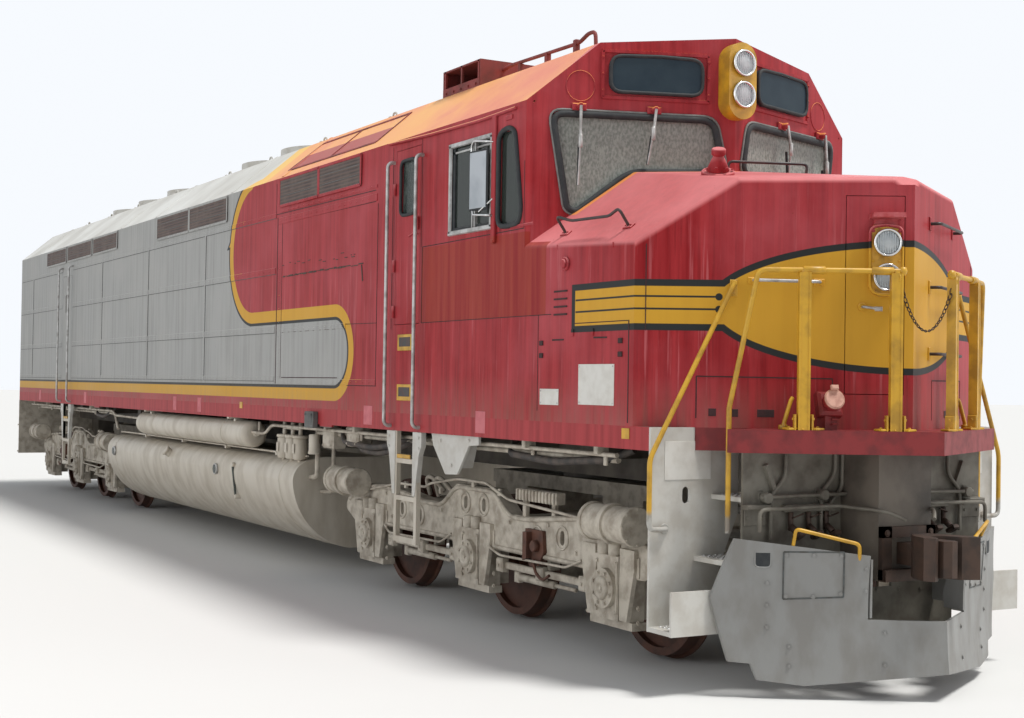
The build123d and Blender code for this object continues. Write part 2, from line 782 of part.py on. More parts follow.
# Engine and generator, one plain block on the deck
with BuildPart() as engine_block:
    with Locations((engine_x, 0, deck_top)):
        Box(engine_length, 2 * engine_half, engine_height, align=(Align.CENTER, Align.CENTER, Align.MIN))
finish(engine_block.part, "engine_block")


# Cab seats: pedestal, cushion and back
with BuildPart() as cab_seats:
    for side in (-1, 1):
        with Locations((seat_x, side * seat_y, cab_floor_z)):
            Cylinder(55, seat_height - 90, align=(Align.CENTER, Align.CENTER, Align.MIN))
            Cylinder(190, 20, align=(Align.CENTER, Align.CENTER, Align.MIN))
        with BuildSketch(Plane.XZ.offset(-side * seat_y)):
            with BuildLine():
                Polyline((seat_x + 240, cab_floor_z + seat_height - 90), (seat_x + 240, cab_floor_z + seat_height),
                         (seat_x - 150, cab_floor_z + seat_height - 20), (seat_x - 250, cab_floor_z + seat_height + 520),
                         (seat_x - 340, cab_floor_z + seat_height + 510),
                         (seat_x - 240, cab_floor_z + seat_height - 90), close=True)
            make_face()
        extrude(amount=seat_half, both=True)
finish(cab_seats.part, "cab_seats")


# Driver's control stand, on the right of the cab
with BuildPart() as control_stand:
    with BuildSketch(Plane.XZ.offset(stand_y)):
        with BuildLine():
            Polyline((stand_x, cab_floor_z), (stand_x + 420, cab_floor_z), (stand_x + 420, cab_floor_z + 700),
                     (stand_x + 300, cab_floor_z + 1050), (stand_x + 120, cab_floor_z + 1050),
                     (stand_x, cab_floor_z + 820), close=True)
        make_face()
    extrude(amount=stand_half, both=True)
finish(control_stand.part, "control_stand")


# Twin headlight on the ridge of the cab front, in a tall oval housing
lamp_r = 95
lamp_depth = 30
lamp_levels = (4395, 4155)
headlight_x = cab_ridge_x + 90
headlight_low = 3970
headlight_high = 4555
headlight_half = 130

with BuildPart() as cab_headlight:
    with BuildSketch(Plane.YZ.offset(cab_side_x)):
        with Locations((0, rail_top + (headlight_low + headlight_high) / 2)):
            SlotOverall(headlight_high - headlight_low, 2 * headlight_half, rotation=90)
    extrude(amount=headlight_x - cab_side_x)
    with BuildSketch(Plane.XY.offset(deck_top)):
        v_outline(cab_ridge_x, cab_side_x, hood_x)
    extrude(amount=2 * crown_z, mode=Mode.SUBTRACT)
    with Locations(Plane(origin=(headlight_x, 0, rail_top), x_dir=(0, 1, 0), z_dir=(1, 0, 0)).location):
        with Locations([(0, level) for level in lamp_levels]):
            Cylinder(lamp_r, 2 * lamp_depth, mode=Mode.SUBTRACT)
        with Locations([(0, level, -lamp_depth) for level in lamp_levels]):
            Cylinder(lamp_r - 12, lamp_depth / 2)
finish(cab_headlight.part, "cab_headlight")


# Number boards on the cab facets, blank, with rounded ends
board_inner = 262
board_outer = 1000
board_low = 4130
board_high = 4420
board_thick = 30

with BuildPart() as number_boards:
    with BuildSketch(cab_facet):
        with Locations((-(board_inner + board_outer) / 2, (board_low + board_high) / 2)):
            RectangleRounded(board_outer - board_inner, board_high - board_low, 90)
    board = extrude(amount=board_thick)
    mirror(board, about=Plane.XZ)
finish(number_boards.part, "number_boards")


# Nose headlight: a plate with two lamps on the nose door, under a small visor
nose_lamp_s = 190
nose_lamp_low = 2540
nose_lamp_high = 3000
nose_lamp_half = 105
nose_lamp_depth = 45
nose_lamp_r = 82

with BuildPart() as nose_headlight:
    with BuildSketch(nose_facet):
        with Locations((-nose_lamp_s, (nose_lamp_low + nose_lamp_high) / 2)):
            RectangleRounded(2 * nose_lamp_half, nose_lamp_high - nose_lamp_low, 80)
    extrude(amount=nose_lamp_depth)
    with BuildSketch(nose_facet.offset(nose_lamp_depth)):
        with Locations((-nose_lamp_s, 2885), (-nose_lamp_s, 2660)):
            Circle(nose_lamp_r)
            Circle(nose_lamp_r - 12, mode=Mode.SUBTRACT)
    extrude(amount=25)
    with BuildSketch(nose_facet):
        with Locations((-nose_lamp_s, nose_lamp_high + 60)):
            Rectangle(2 * nose_lamp_half, 30)
    extrude(amount=150)
    with BuildSketch(nose_facet):
        with Locations((-nose_lamp_s, nose_lamp_high + 25)):
            Rectangle(2 * nose_lamp_half - 60, 60)
    extrude(amount=20)
finish(nose_headlight.part, "nose_headlight")


# Grilles of the air intakes along the top of the hood: start, end, bottom and top above the rail
intakes = [(3070, 4130, 3750, 4030), (4150, 5170, 3750, 4030), (-1450, -80, 3750, 4030), (-50, 1370, 3750, 4030),
           (-8000, -6600, 3790, 4030), (-6500, -4950, 3790, 4030), (-4850, -3460, 3790, 4030)]
grille_out = 12

with BuildPart() as side_grilles:
    for side in (-1, 1):
        for start, end, low, high in intakes:
            with BuildSketch(Plane.XZ.offset(-side * (half_width + grille_out / 2))):
                with Locations(((start + end) / 2, rail_top + (low + high) / 2)):
                    Rectangle(end - start, high - low)
            extrude(amount=grille_out / 2, both=True)
finish(side_grilles.part, "side_grilles")


# Fan housings on the roof: shroud, guard bars and the motor below each fan
fan_hub_r = 110
fan_motor_r = 140
guard_bar = 14
guard_ring_r = 320

with BuildPart() as fan_housings:
    for x in fans.values():
        with Locations((x, 0, shroud_bottom)):
            Cylinder(fan_r + shroud_thick, shroud_top - shroud_bottom, align=(Align.CENTER, Align.CENTER, Align.MIN))
            Cylinder(fan_r, shroud_top - shroud_bottom, align=(Align.CENTER, Align.CENTER, Align.MIN),
                     mode=Mode.SUBTRACT)
        with Locations((x, 0, shroud_top - guard_bar / 2)):
            with PolarLocations(0, 4, angular_range=180):
                Box(2 * fan_r + shroud_thick, guard_bar, guard_bar)
            Cylinder(guard_ring_r, guard_bar)
            Cylinder(guard_ring_r - guard_bar, guard_bar, mode=Mode.SUBTRACT)
        with Locations((x, 0, shroud_bottom)):
            with PolarLocations(0, 2, angular_range=180):
                Box(2 * fan_r + shroud_thick, 4 * guard_bar, 2 * guard_bar, align=(Align.CENTER, Align.CENTER, Align.MIN))
            Cylinder(fan_motor_r, 90, align=(Align.CENTER, Align.CENTER, Align.MIN))
finish(fan_housings.part, "fan_housings")


def fan_rotor(x):
    """Make a fan rotor: hub and pitched blades, clear of its shroud, motor and guard."""
    low = shroud_bottom + 90 + running_gap
    with BuildPart() as rotor:
        with Locations((x, 0, low)):
            Cylinder(fan_hub_r, 120, align=(Align.CENTER, Align.CENTER, Align.MIN))
        with Locations((x, 0, low + 62)):
            with PolarLocations(0, fan_blades):
                with Locations(Location((fan_hub_r - 20 + fan_blade_length / 2, 0, 0), (28, 0, 0))):
                    Box(fan_blade_length, 150, 8)
    return rotor


for name, x in fans.items():
    if name.startswith("radiator"):
        finish(fan_rotor(x).part, name)


# Trucks. Each is drawn about its own centre and the rear one is turned end for end.
# Side frame outline: distance ahead of the truck centre, height above the rail
frame_outline = [(-2700, 700), (-2640, 800), (-2300, 960), (-1700, 985), (-900, 905), (-600, 905), (-330, 1085),
                 (330, 1085), (600, 905), (900, 905), (1700, 985), (2300, 960), (2640, 800), (2700, 700),
                 (2480, 600), (-2480, 600)]
frame_holes = [(-1400, 790), (-1030, 760), (-160, 940), (160, 940), (1030, 760), (1400, 790)]
frame_round = 50
axle_places = (axle_pitch, 0, -axle_pitch)
cross_half = frame_y - frame_thick / 2
leg_bottom = binder_bottom + binder_thick
end_transom_x = 2660
end_transom_bottom = rail_top + 640
end_transom_height = 150
shoe_angle = 14
shoe_z = rail_top + 500
shoe_y = back_to_back / 2 + wheel_width / 2 + 15
rod_y = 890
rod_r = 16
rod_z = rail_top + 650
cylinder_x = 2330


def truck_frame():
    """Make a truck frame: two side frames with pedestals, transoms, end transoms and the bolster."""
    with BuildPart() as frame:
        with BuildSketch(Plane.XZ.offset(frame_y)) as side_frame:
            with BuildLine():
                Polyline(*[(x, rail_top + z) for x, z in frame_outline], close=True)
            make_face()
            fillet(side_frame.vertices(), frame_round)
            with Locations(*[(x, leg_bottom) for x in axle_places]):
                Rectangle(box_width + 2 * leg_width, box_top - leg_bottom, align=(Align.CENTER, Align.MIN))
                Rectangle(box_width, box_top - leg_bottom, align=(Align.CENTER, Align.MIN), mode=Mode.SUBTRACT)
                Rectangle(box_width + 2 * leg_width + 60, binder_thick, align=(Align.CENTER, Align.MAX))
            with Locations(*[(x, rail_top + z) for x, z in frame_holes]):
                SlotOverall(110, 60, rotation=90, mode=Mode.SUBTRACT)
        extrude(amount=frame_thick / 2, both=True)
        mirror(frame.part, about=Plane.XZ)
        with Locations((-transom_x, 0, transom_bottom), (transom_x, 0, transom_bottom)):
            Box(transom_length, 2 * cross_half, transom_height, align=(Align.CENTER, Align.CENTER, Align.MIN))
            Box(transom_length, 2 * bolster_half, transom_top - transom_bottom,
                align=(Align.CENTER, Align.CENTER, Align.MIN))
        with Locations((-end_transom_x, 0, end_transom_bottom), (end_transom_x, 0, end_transom_bottom)):
            Box(end_transom_length, 2 * cross_half, end_transom_height,
                align=(Align.CENTER, Align.CENTER, Align.MIN))
        with Locations((0, 0, transom_top)):
            Box(bolster_length, 2 * bolster_half, bolster_top - transom_top,
                align=(Align.CENTER, Align.CENTER, Align.MIN))
    return frame.part


def journal_boxes():
    """Make the six journal boxes between their pedestal legs, bored for the axle ends."""
    with BuildPart() as boxes:
        for x in axle_places:
            for side in (-1, 1):
                with Locations((x, side * (box_inner_y + box_outer_y) / 2, leg_bottom)):
                    Box(box_width, box_outer_y - box_inner_y, box_top - leg_bottom,
                        align=(Align.CENTER, Align.CENTER, Align.MIN))
                with Locations(Location((x, side * (box_outer_y + cap_thick / 2), rail_top + wheel_r), (90, 0, 0))):
                    Cylinder(cap_r, cap_thick)
                bore_end = axle_end_y + running_gap
                with Locations(Location((x, side * (box_inner_y + bore_end) / 2, rail_top + wheel_r), (90, 0, 0))):
                    Cylinder(journal_r + running_gap, bore_end - box_inner_y, mode=Mode.SUBTRACT)
    return boxes.part


def traction_motors():
    """Make the three motors, each beside its axle with its nose under a transom."""
    motor_start = axle_r + moving_gap + 10
    far_side = transom_x + transom_length / 2 - 20
    near_side = transom_x - transom_length / 2 + 20
    spans = [(axle_pitch - motor_start, far_side), (-motor_start, -near_side), (motor_start - axle_pitch, -far_side)]
    with BuildPart() as motors:
        for start, end in spans:
            with BuildSketch(Plane.XZ) as section:
                with Locations(((start + end) / 2, (motor_bottom + transom_bottom) / 2)):
                    Rectangle(abs(start - end), transom_bottom - motor_bottom)
                lower = section.vertices().group_by(Axis.Y)[0]
                fillet(lower, 150)
            extrude(amount=motor_half, both=True)
    return motors.part


def brake_gear():
    """Make one truck's brake gear: cylinders on the side frames, rods, hanger pins and shoes."""
    with BuildPart() as gear:
        for side in (-1, 1):
            for x in (-cylinder_x, cylinder_x):
                with Locations(Location((x, side * cylinder_y, cylinder_z), (0, 90, 0))):
                    Cylinder(cylinder_r, cylinder_length)
                    Cylinder(cylinder_r + 18, 50)
                frame_face = frame_y + frame_thick / 2
                with Locations((x, side * (frame_face + cylinder_y) / 2, cylinder_z - 60)):
                    Box(180, cylinder_y - frame_face, 90)
            with Locations(Location((0, side * rod_y, rod_z), (0, 90, 0))):
                Cylinder(rod_r, 2 * (axle_pitch - wheel_r - 40))
            for x, toward in ((axle_pitch, -1), (0, 1), (-axle_pitch, 1)):
                shoe_mid = wheel_r + shoe_gap + shoe_thick / 2
                with BuildSketch(Plane.XZ.offset(-side * shoe_y)):
                    with Locations((x, rail_top + wheel_r)):
                        Circle(wheel_r + shoe_gap + shoe_thick)
                        Circle(wheel_r + shoe_gap, mode=Mode.SUBTRACT)
                    with Locations((x + toward * shoe_mid, rod_z - 90)):
                        Rectangle(3 * shoe_thick, 260, mode=Mode.INTERSECT)
                extrude(amount=shoe_width / 2, both=True)
                pin_y = (shoe_y + cross_half) / 2
                with Locations(Location((x + toward * (shoe_mid - 14), side * pin_y, rod_z), (90, 0, 0))):
                    Cylinder(pin_r, cross_half - shoe_y)
    return gear.part


def wheelset():
    """Make an axle with its two flanged wheels, revolved from one half profile."""
    inner = back_to_back / 2
    outer = inner + wheel_width
    plate = inner + wheel_width / 2
    flange_r = wheel_r + flange_depth
    with BuildPart() as axle:
        with BuildSketch(Plane.XY):
            with BuildLine():
                Polyline((0, 0), (axle_r, 0), (axle_r, inner - 30), (hub_r, inner - 30),
                         (hub_r, plate - plate_thick / 2), (wheel_r - rim_thick, plate - plate_thick / 2),
                         (wheel_r - rim_thick, inner), (flange_r - 8, inner), (flange_r, inner + 10),
                         (flange_r - 2, inner + 22), (wheel_r + 2, inner + 38), (wheel_r - 4, outer),
                         (wheel_r - rim_thick, outer), (wheel_r - rim_thick, plate + plate_thick / 2),
                         (hub_r, plate + plate_thick / 2), (hub_r, outer + 20), (journal_r, outer + 20),
                         (journal_r, axle_end_y), (0, axle_end_y), close=True)
            make_face()
        revolve(axis=Axis.Y)
        mirror(axle.part, about=Plane.XZ)
    return axle.part


truck_pieces = {"frame": truck_frame(), "journal_boxes": journal_boxes(), "motors": traction_motors(),
                "brake_gear": brake_gear()}
axle_and_wheels = wheelset()
for truck, place, turn in (("front", truck_x, 0), ("rear", -truck_x, 180)):
    for name, piece in truck_pieces.items():
        finish(piece.moved(Location((place, 0, 0), (0, 0, turn))), f"{truck}_truck_{name}")
    for number, offset_x in enumerate(axle_places, 1):
        spot = Location((place + offset_x, 0, rail_top + wheel_r))
        finish(axle_and_wheels.moved(spot), f"{truck}_truck_wheelset_{number}")


def tube(points, radius, bend):
    """Sweep a round tube along straight runs joined by bends."""
    with BuildPart() as run:
        with BuildLine() as path:
            if len(points) > 2:
                FilletPolyline(*points, radius=bend)
            else:
                Line(*points)
        route = path.wires()[0]
        with BuildSketch(Plane(origin=route @ 0, z_dir=route % 0)):
            Circle(radius)
        sweep(path=route)
    return run.part


# Vertical handrails beside the side doors, standing off the wall on both sides of the body
handrail_r = 16
handrail_out = 85
handrail_bend = 50
handrail_low = sill_bottom + 40
handrail_gap = 45
handrail_tops = {"cab_door_right": rail_top + 3860, "engine_room_door_right": rail_top + 3700}


def door_edges(name):
    """Return a side door's rear and front edges along X."""
    door = doors[name]
    far = door["hinge"][0] + door["along"][0] * door["width"]
    return min(door["hinge"][0], far), max(door["hinge"][0], far)


with BuildPart() as side_handrails:
    for name, high in handrail_tops.items():
        rear_edge, front_edge = door_edges(name)
        for x in (rear_edge - handrail_gap, front_edge + handrail_gap):
            for side in (-1, 1):
                wall_y = side * half_width
                rail_y = side * (half_width + handrail_out - handrail_r)
                add(tube([(x, wall_y, high), (x, rail_y, high), (x, rail_y, handrail_low),
                          (x, wall_y, handrail_low)], handrail_r, handrail_bend))
finish(side_handrails.part, "side_handrails")


# Ladders under the side doors: two stringers joined at the foot, with rungs
ladder_half = 225
ladder_bottom = rail_top + 560
ladder_thick = 40
ladder_bar = 50

with BuildPart() as side_ladders:
    for name in handrail_tops:
        x = sum(door_edges(name)) / 2
        for side in (-1, 1):
            with BuildSketch(Plane.XZ.offset(-side * (half_width - side_sill / 2))):
                with Locations((x, (ladder_bottom + sill_bottom) / 2)):
                    Rectangle(2 * ladder_half, sill_bottom - ladder_bottom)
                for low, high in ((ladder_bottom + ladder_bar, ladder_bottom + 360),
                                  (ladder_bottom + 400, ladder_bottom + 680),
                                  (ladder_bottom + 720, sill_bottom)):
                    with Locations((x, (low + high) / 2)):
                        Rectangle(2 * (ladder_half - ladder_bar), high - low, mode=Mode.SUBTRACT)
            extrude(amount=ladder_thick / 2, both=True)
finish(side_ladders.part, "side_ladders")


# Front handrails: four posts on the platform, top rails and the step rails at both corners
post_a = (10430, 0.64 * lip_outer[1])
post_b = (10720, 0.21 * lip_outer[1])
step_rail_foot = (10130, half_width - 425)
step_rail_knee = (10270, half_width - 540)
step_rail_low = rail_top + 1000
step_rail_bend = rail_top + 1800
post_r = 26

with BuildPart() as front_handrails:
    for side in (-1, 1):
        ax, ay = post_a[0], side * post_a[1]
        bx, by = post_b[0], side * post_b[1]
        for x, y in ((ax, ay), (bx, by)):
            with Locations((x, y, deck_top)):
                Cylinder(post_r, rail_top_z - deck_top, align=(Align.CENTER, Align.CENTER, Align.MIN))
        reach = unit(bx - ax, by - ay)
        foot_x, foot_y = step_rail_foot[0], side * step_rail_foot[1]
        add(tube([(foot_x, foot_y, step_rail_low), (foot_x, foot_y, step_rail_bend),
                  (step_rail_knee[0], side * step_rail_knee[1], rail_top_z), (ax, ay, rail_top_z),
                  (bx + 40 * reach[0], by + 40 * reach[1], rail_top_z)], rail_r, 60))
finish(front_handrails.part, "front_handrails")


# Roof equipment: exhaust stack and the open box over the cab
box_x = 7000
box_length = 420
box_half = 260
box_height = 150
box_wall = 12

with BuildPart() as roof_equipment:
    with Locations((stack_x, 0, crown_z - 3 * wall)):
        Box(stack_length - 2 * roof_gap, stack_width - 2 * roof_gap, stack_height,
            align=(Align.CENTER, Align.CENTER, Align.MIN))
        Box(stack_length - 80, stack_width - 80, stack_height, align=(Align.CENTER, Align.CENTER, Align.MIN),
            mode=Mode.SUBTRACT)
    with Locations((box_x, 0, crown_z - wall)):
        Box(box_length, 2 * box_half, box_height + wall, align=(Align.CENTER, Align.CENTER, Align.MIN))
        Box(box_length, 2 * box_half - 2 * box_wall, box_height + wall - box_wall,
            align=(Align.CENTER, Align.CENTER, Align.MIN), mode=Mode.SUBTRACT)
    with BuildSketch(Plane.YZ.offset(box_x - box_length)):
        body_outline()
    extrude(amount=2 * box_length, mode=Mode.SUBTRACT)
finish(roof_equipment.part, "roof_equipment")


# Rear end: end plate under the body, corner steps and the small platform over the coupler
with BuildPart() as rear_end_plate:
    with BuildSketch(Plane.YZ.offset(rear_x)):
        with Locations((0, (end_plate_bottom + sill_bottom) / 2)):
            Rectangle(2 * half_width, sill_bottom - end_plate_bottom)
            Rectangle(2 * draft_half, deck_top, mode=Mode.SUBTRACT)
    extrude(amount=-end_plate_thick)
    for side in (-1, 1):
        for level in (rear_step_low, rear_step_high):
            with Locations((rear_x - end_plate_thick, side * rear_step_y, level)):
                Box(rear_step_depth, rear_step_width, step_thick, align=(Align.MAX, Align.CENTER, Align.MAX))
    with Locations((rear_x, 0, deck_top)):
        Box(draft_front + rear_x, 2 * rear_platform_half, platform_thick,
            align=(Align.MAX, Align.CENTER, Align.MAX))
finish(rear_end_plate.part, "rear_end_plate")
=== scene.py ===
"""Looks of a six-axle diesel locomotive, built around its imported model.

Metres. X runs to the nose, Y to the left and Z up; the wheels' flange tips are at z = 0.
"""

import math
import random

import bpy
from mathutils import Matrix, Vector


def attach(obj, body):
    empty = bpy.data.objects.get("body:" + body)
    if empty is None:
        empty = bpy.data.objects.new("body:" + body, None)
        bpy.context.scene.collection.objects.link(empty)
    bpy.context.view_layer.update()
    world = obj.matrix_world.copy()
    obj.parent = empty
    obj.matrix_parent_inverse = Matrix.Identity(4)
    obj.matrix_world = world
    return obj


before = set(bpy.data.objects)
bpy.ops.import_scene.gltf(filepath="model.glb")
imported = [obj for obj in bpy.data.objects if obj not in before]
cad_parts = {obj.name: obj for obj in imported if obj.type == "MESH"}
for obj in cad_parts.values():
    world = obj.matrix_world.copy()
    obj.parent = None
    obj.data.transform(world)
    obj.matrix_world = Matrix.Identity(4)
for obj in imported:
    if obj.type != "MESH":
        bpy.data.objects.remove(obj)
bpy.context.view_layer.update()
chance = random.Random(7)

# Places that the CAD solids share with this script.
rail = 0.027            # top of the rail
side = 1.54             # outer face of the body sides
eave = rail + 4.05
shoulder_y, shoulder_z = 1.01, rail + 4.51
crown = rail + 4.60
ridge_x = 10.62         # the nose's front ridge
nose_corner_x = 9.66    # where a nose facet meets the side
facet_length = math.hypot(ridge_x - nose_corner_x, side)
cab_ridge_x, cab_corner_x = 8.72, 8.20
cab_slant = (cab_ridge_x - cab_corner_x) / side
rear_end = -10.13       # outer face of the rear wall
truck_places = {"front": 6.858, "rear": -6.858}
truck_face_y = 1.21     # outer face of a truck's frame
axle_step = 2.07
wheel_r = 0.508
end_plate_x = 10.20     # front face of the end plate
fan_places = (-7.30, -5.72, -4.14)
hatch_joints = (-8.60, -3.30, -1.56, 1.48, 3.10)
UP = Vector((0, 0, 1))


# Colours and shader arithmetic.

def tint(red, green, blue):
    """A colour given as display values from 0 to 255, as linear RGBA."""
    def linear(value):
        part = value / 255
        return part / 12.92 if part <= 0.04045 else ((part + 0.055) / 1.055) ** 2.4
    return (linear(red), linear(green), linear(blue), 1)


class Wire:
    """A node's output that takes part in Python arithmetic."""

    def __init__(self, nodes, socket):
        self.nodes, self.socket = nodes, socket

    def maths(self, operation, *values, clamp=False):
        inputs = dict(enumerate(values))
        return self.nodes.node("ShaderNodeMath", {"operation": operation, "use_clamp": clamp}, inputs)

    def __add__(self, other):
        return self.maths("ADD", self, other)

    def __sub__(self, other):
        return self.maths("SUBTRACT", self, other)

    def __rsub__(self, other):
        return self.maths("SUBTRACT", other, self)

    def __mul__(self, other):
        return self.maths("MULTIPLY", self, other)

    def __truediv__(self, other):
        return self.maths("DIVIDE", self, other)

    def __neg__(self):
        return self * -1

    __radd__, __rmul__ = __add__, __mul__

    def size(self):
        return self.maths("ABSOLUTE", self)

    def below(self, other):
        return self.maths("MINIMUM", self, other)

    def above(self, other):
        return self.maths("MAXIMUM", self, other)

    def root(self):
        return self.maths("SQRT", self)

    def past(self, edge, soft=0.004):
        """1 where the value is past the edge and 0 before it, over a short ramp."""
        return self.maths("MULTIPLY_ADD", self, 1 / soft, 0.5 - edge / soft, clamp=True)

    def within(self, low, high, soft=0.004):
        return self.past(low, soft) * (1 - self.past(high, soft))


class Nodes:
    """The shader nodes of one material or of the world."""

    def __init__(self, tree):
        self.tree = tree

    def node(self, kind, settings=None, inputs=None, output=0):
        made = self.tree.nodes.new(kind)
        for name, value in (settings or {}).items():
            setattr(made, name, value)
        for name, value in (inputs or {}).items():
            self.join(made.inputs[name], value)
        return Wire(self, made.outputs[output])

    def join(self, socket, value):
        if isinstance(value, Wire):
            self.tree.links.new(value.socket, socket)
        else:
            socket.default_value = value


class Finish(Nodes):
    """A material in the making."""

    def __init__(self, name, roughness=0.5, metallic=0.0, **constants):
        self.material = bpy.data.materials.new(name)
        self.material.use_nodes = True
        super().__init__(self.material.node_tree)
        self.shader = self.tree.nodes["Principled BSDF"]
        self.place = self.node("ShaderNodeTexCoord", output="Object")
        self.set(**{"Roughness": roughness, "Metallic": metallic}, **constants)

    def set(self, **values):
        for name, value in values.items():
            self.join(self.shader.inputs[name.replace("_", " ")], value)
        return self

    def axes(self):
        split = self.node("ShaderNodeSeparateXYZ", inputs={0: self.place})
        return [Wire(self, out) for out in split.socket.node.outputs]

    def facing(self):
        normal = self.node("ShaderNodeNewGeometry", output="Normal")
        split = self.node("ShaderNodeSeparateXYZ", inputs={0: normal})
        return [Wire(self, out) for out in split.socket.node.outputs]

    def scaled(self, stretch):
        return self.node("ShaderNodeVectorMath", {"operation": "MULTIPLY"}, {0: self.place, 1: stretch})

    def noise(self, scale, detail=4, stretch=(1, 1, 1)):
        inputs = {"Vector": self.scaled(stretch), "Scale": scale, "Detail": detail, "Roughness": 0.55}
        return self.node("ShaderNodeTexNoise", inputs=inputs)

    def mix(self, factor, first, second):
        return self.node("ShaderNodeMix", {"data_type": "RGBA"}, {0: factor, 6: first, 7: second}, output=2)

    def bump(self, height, strength, distance):
        inputs = {"Height": height, "Strength": strength, "Distance": distance}
        return self.set(Normal=self.node("ShaderNodeBump", inputs=inputs))


def plain(name, colour, other, roughness=0.5, metallic=0.0, scale=9, grain=60, depth=0.2, amount=0.7,
          stretch=(1, 1, 1), **constants):
    """A finish of two colours in soft patches, with a fine grain in its surface."""
    finish = Finish(name, roughness, metallic, **constants)
    patches = finish.noise(scale, 6, stretch)
    finish.set(Base_Color=finish.mix(patches.past(0.52, 0.22) * amount, colour, other))
    finish.set(Roughness=patches * 0.3 + (roughness - 0.15))
    return finish.bump(finish.noise(grain, 3, stretch), depth, 0.002)


# The faded body paint with its stripes, one finish over the whole shell; its upward faces are lightened,
# partly as painted highlight.

fade_red = tint(164, 46, 50)
deep_red = tint(132, 20, 26)
faded_and_lit_pink = tint(224, 138, 140)
brick = tint(150, 58, 42)
silver = tint(162, 162, 160)
highlight_silver = tint(212, 212, 208)
gold = tint(206, 156, 52)
apricot = tint(236, 178, 104)
line_black = tint(44, 46, 46)
rust = tint(96, 52, 34)
dust = tint(150, 140, 124)


def stripe_distance(x, z):
    """How far a point is outside the silver field, measured to the middle of the yellow stripe."""
    bend_x, bend_z, bend_r = 2.275, 3.35, 0.74
    shelf, tail_z, tail_r, tail_x = 2.609, 2.21, 0.40, 4.585
    slant = 2.13 + (z - 4.05) + 3.7 * (z - 4.05).above(0)
    lean = z.past(4.05, 0.02) * -0.4 + 0.707
    bend = ((x - bend_x) * (x - bend_x) + (z - bend_z) * (z - bend_z)).root() - bend_r
    shelf_side = (shelf - z).above(bend_x - x)
    slant_side = (3.5 - z).above((slant - x) * lean)
    red = bend.below(shelf_side).below(slant_side)
    limit = x - 2.3 - 10 * (z - 3.8).above(0)
    upper = (-red).above(tail_z - z).above(limit)
    along = x - x.below(tail_x)
    tail = (along * along + (z - tail_z) * (z - tail_z)).root() - tail_r
    return upper.below(tail)


def nose_band_distance(x, y, z):
    """How far a point is outside the nose's flared yellow band."""
    spread, height, middle, half = 1.341, 0.44, 2.47, 0.168
    along, rise = y.size() * (facet_length / side), z - middle
    k = ((along / spread) * (along / spread) + (rise / height) * (rise / height)).root()
    g = ((along / spread ** 2) * (along / spread ** 2) + (rise / height ** 2) * (rise / height ** 2)).root()
    flare = k * (k - 1) / g
    straight = (rise.size() - half).above(8.88 - x)
    return flare.below(straight), along, rise


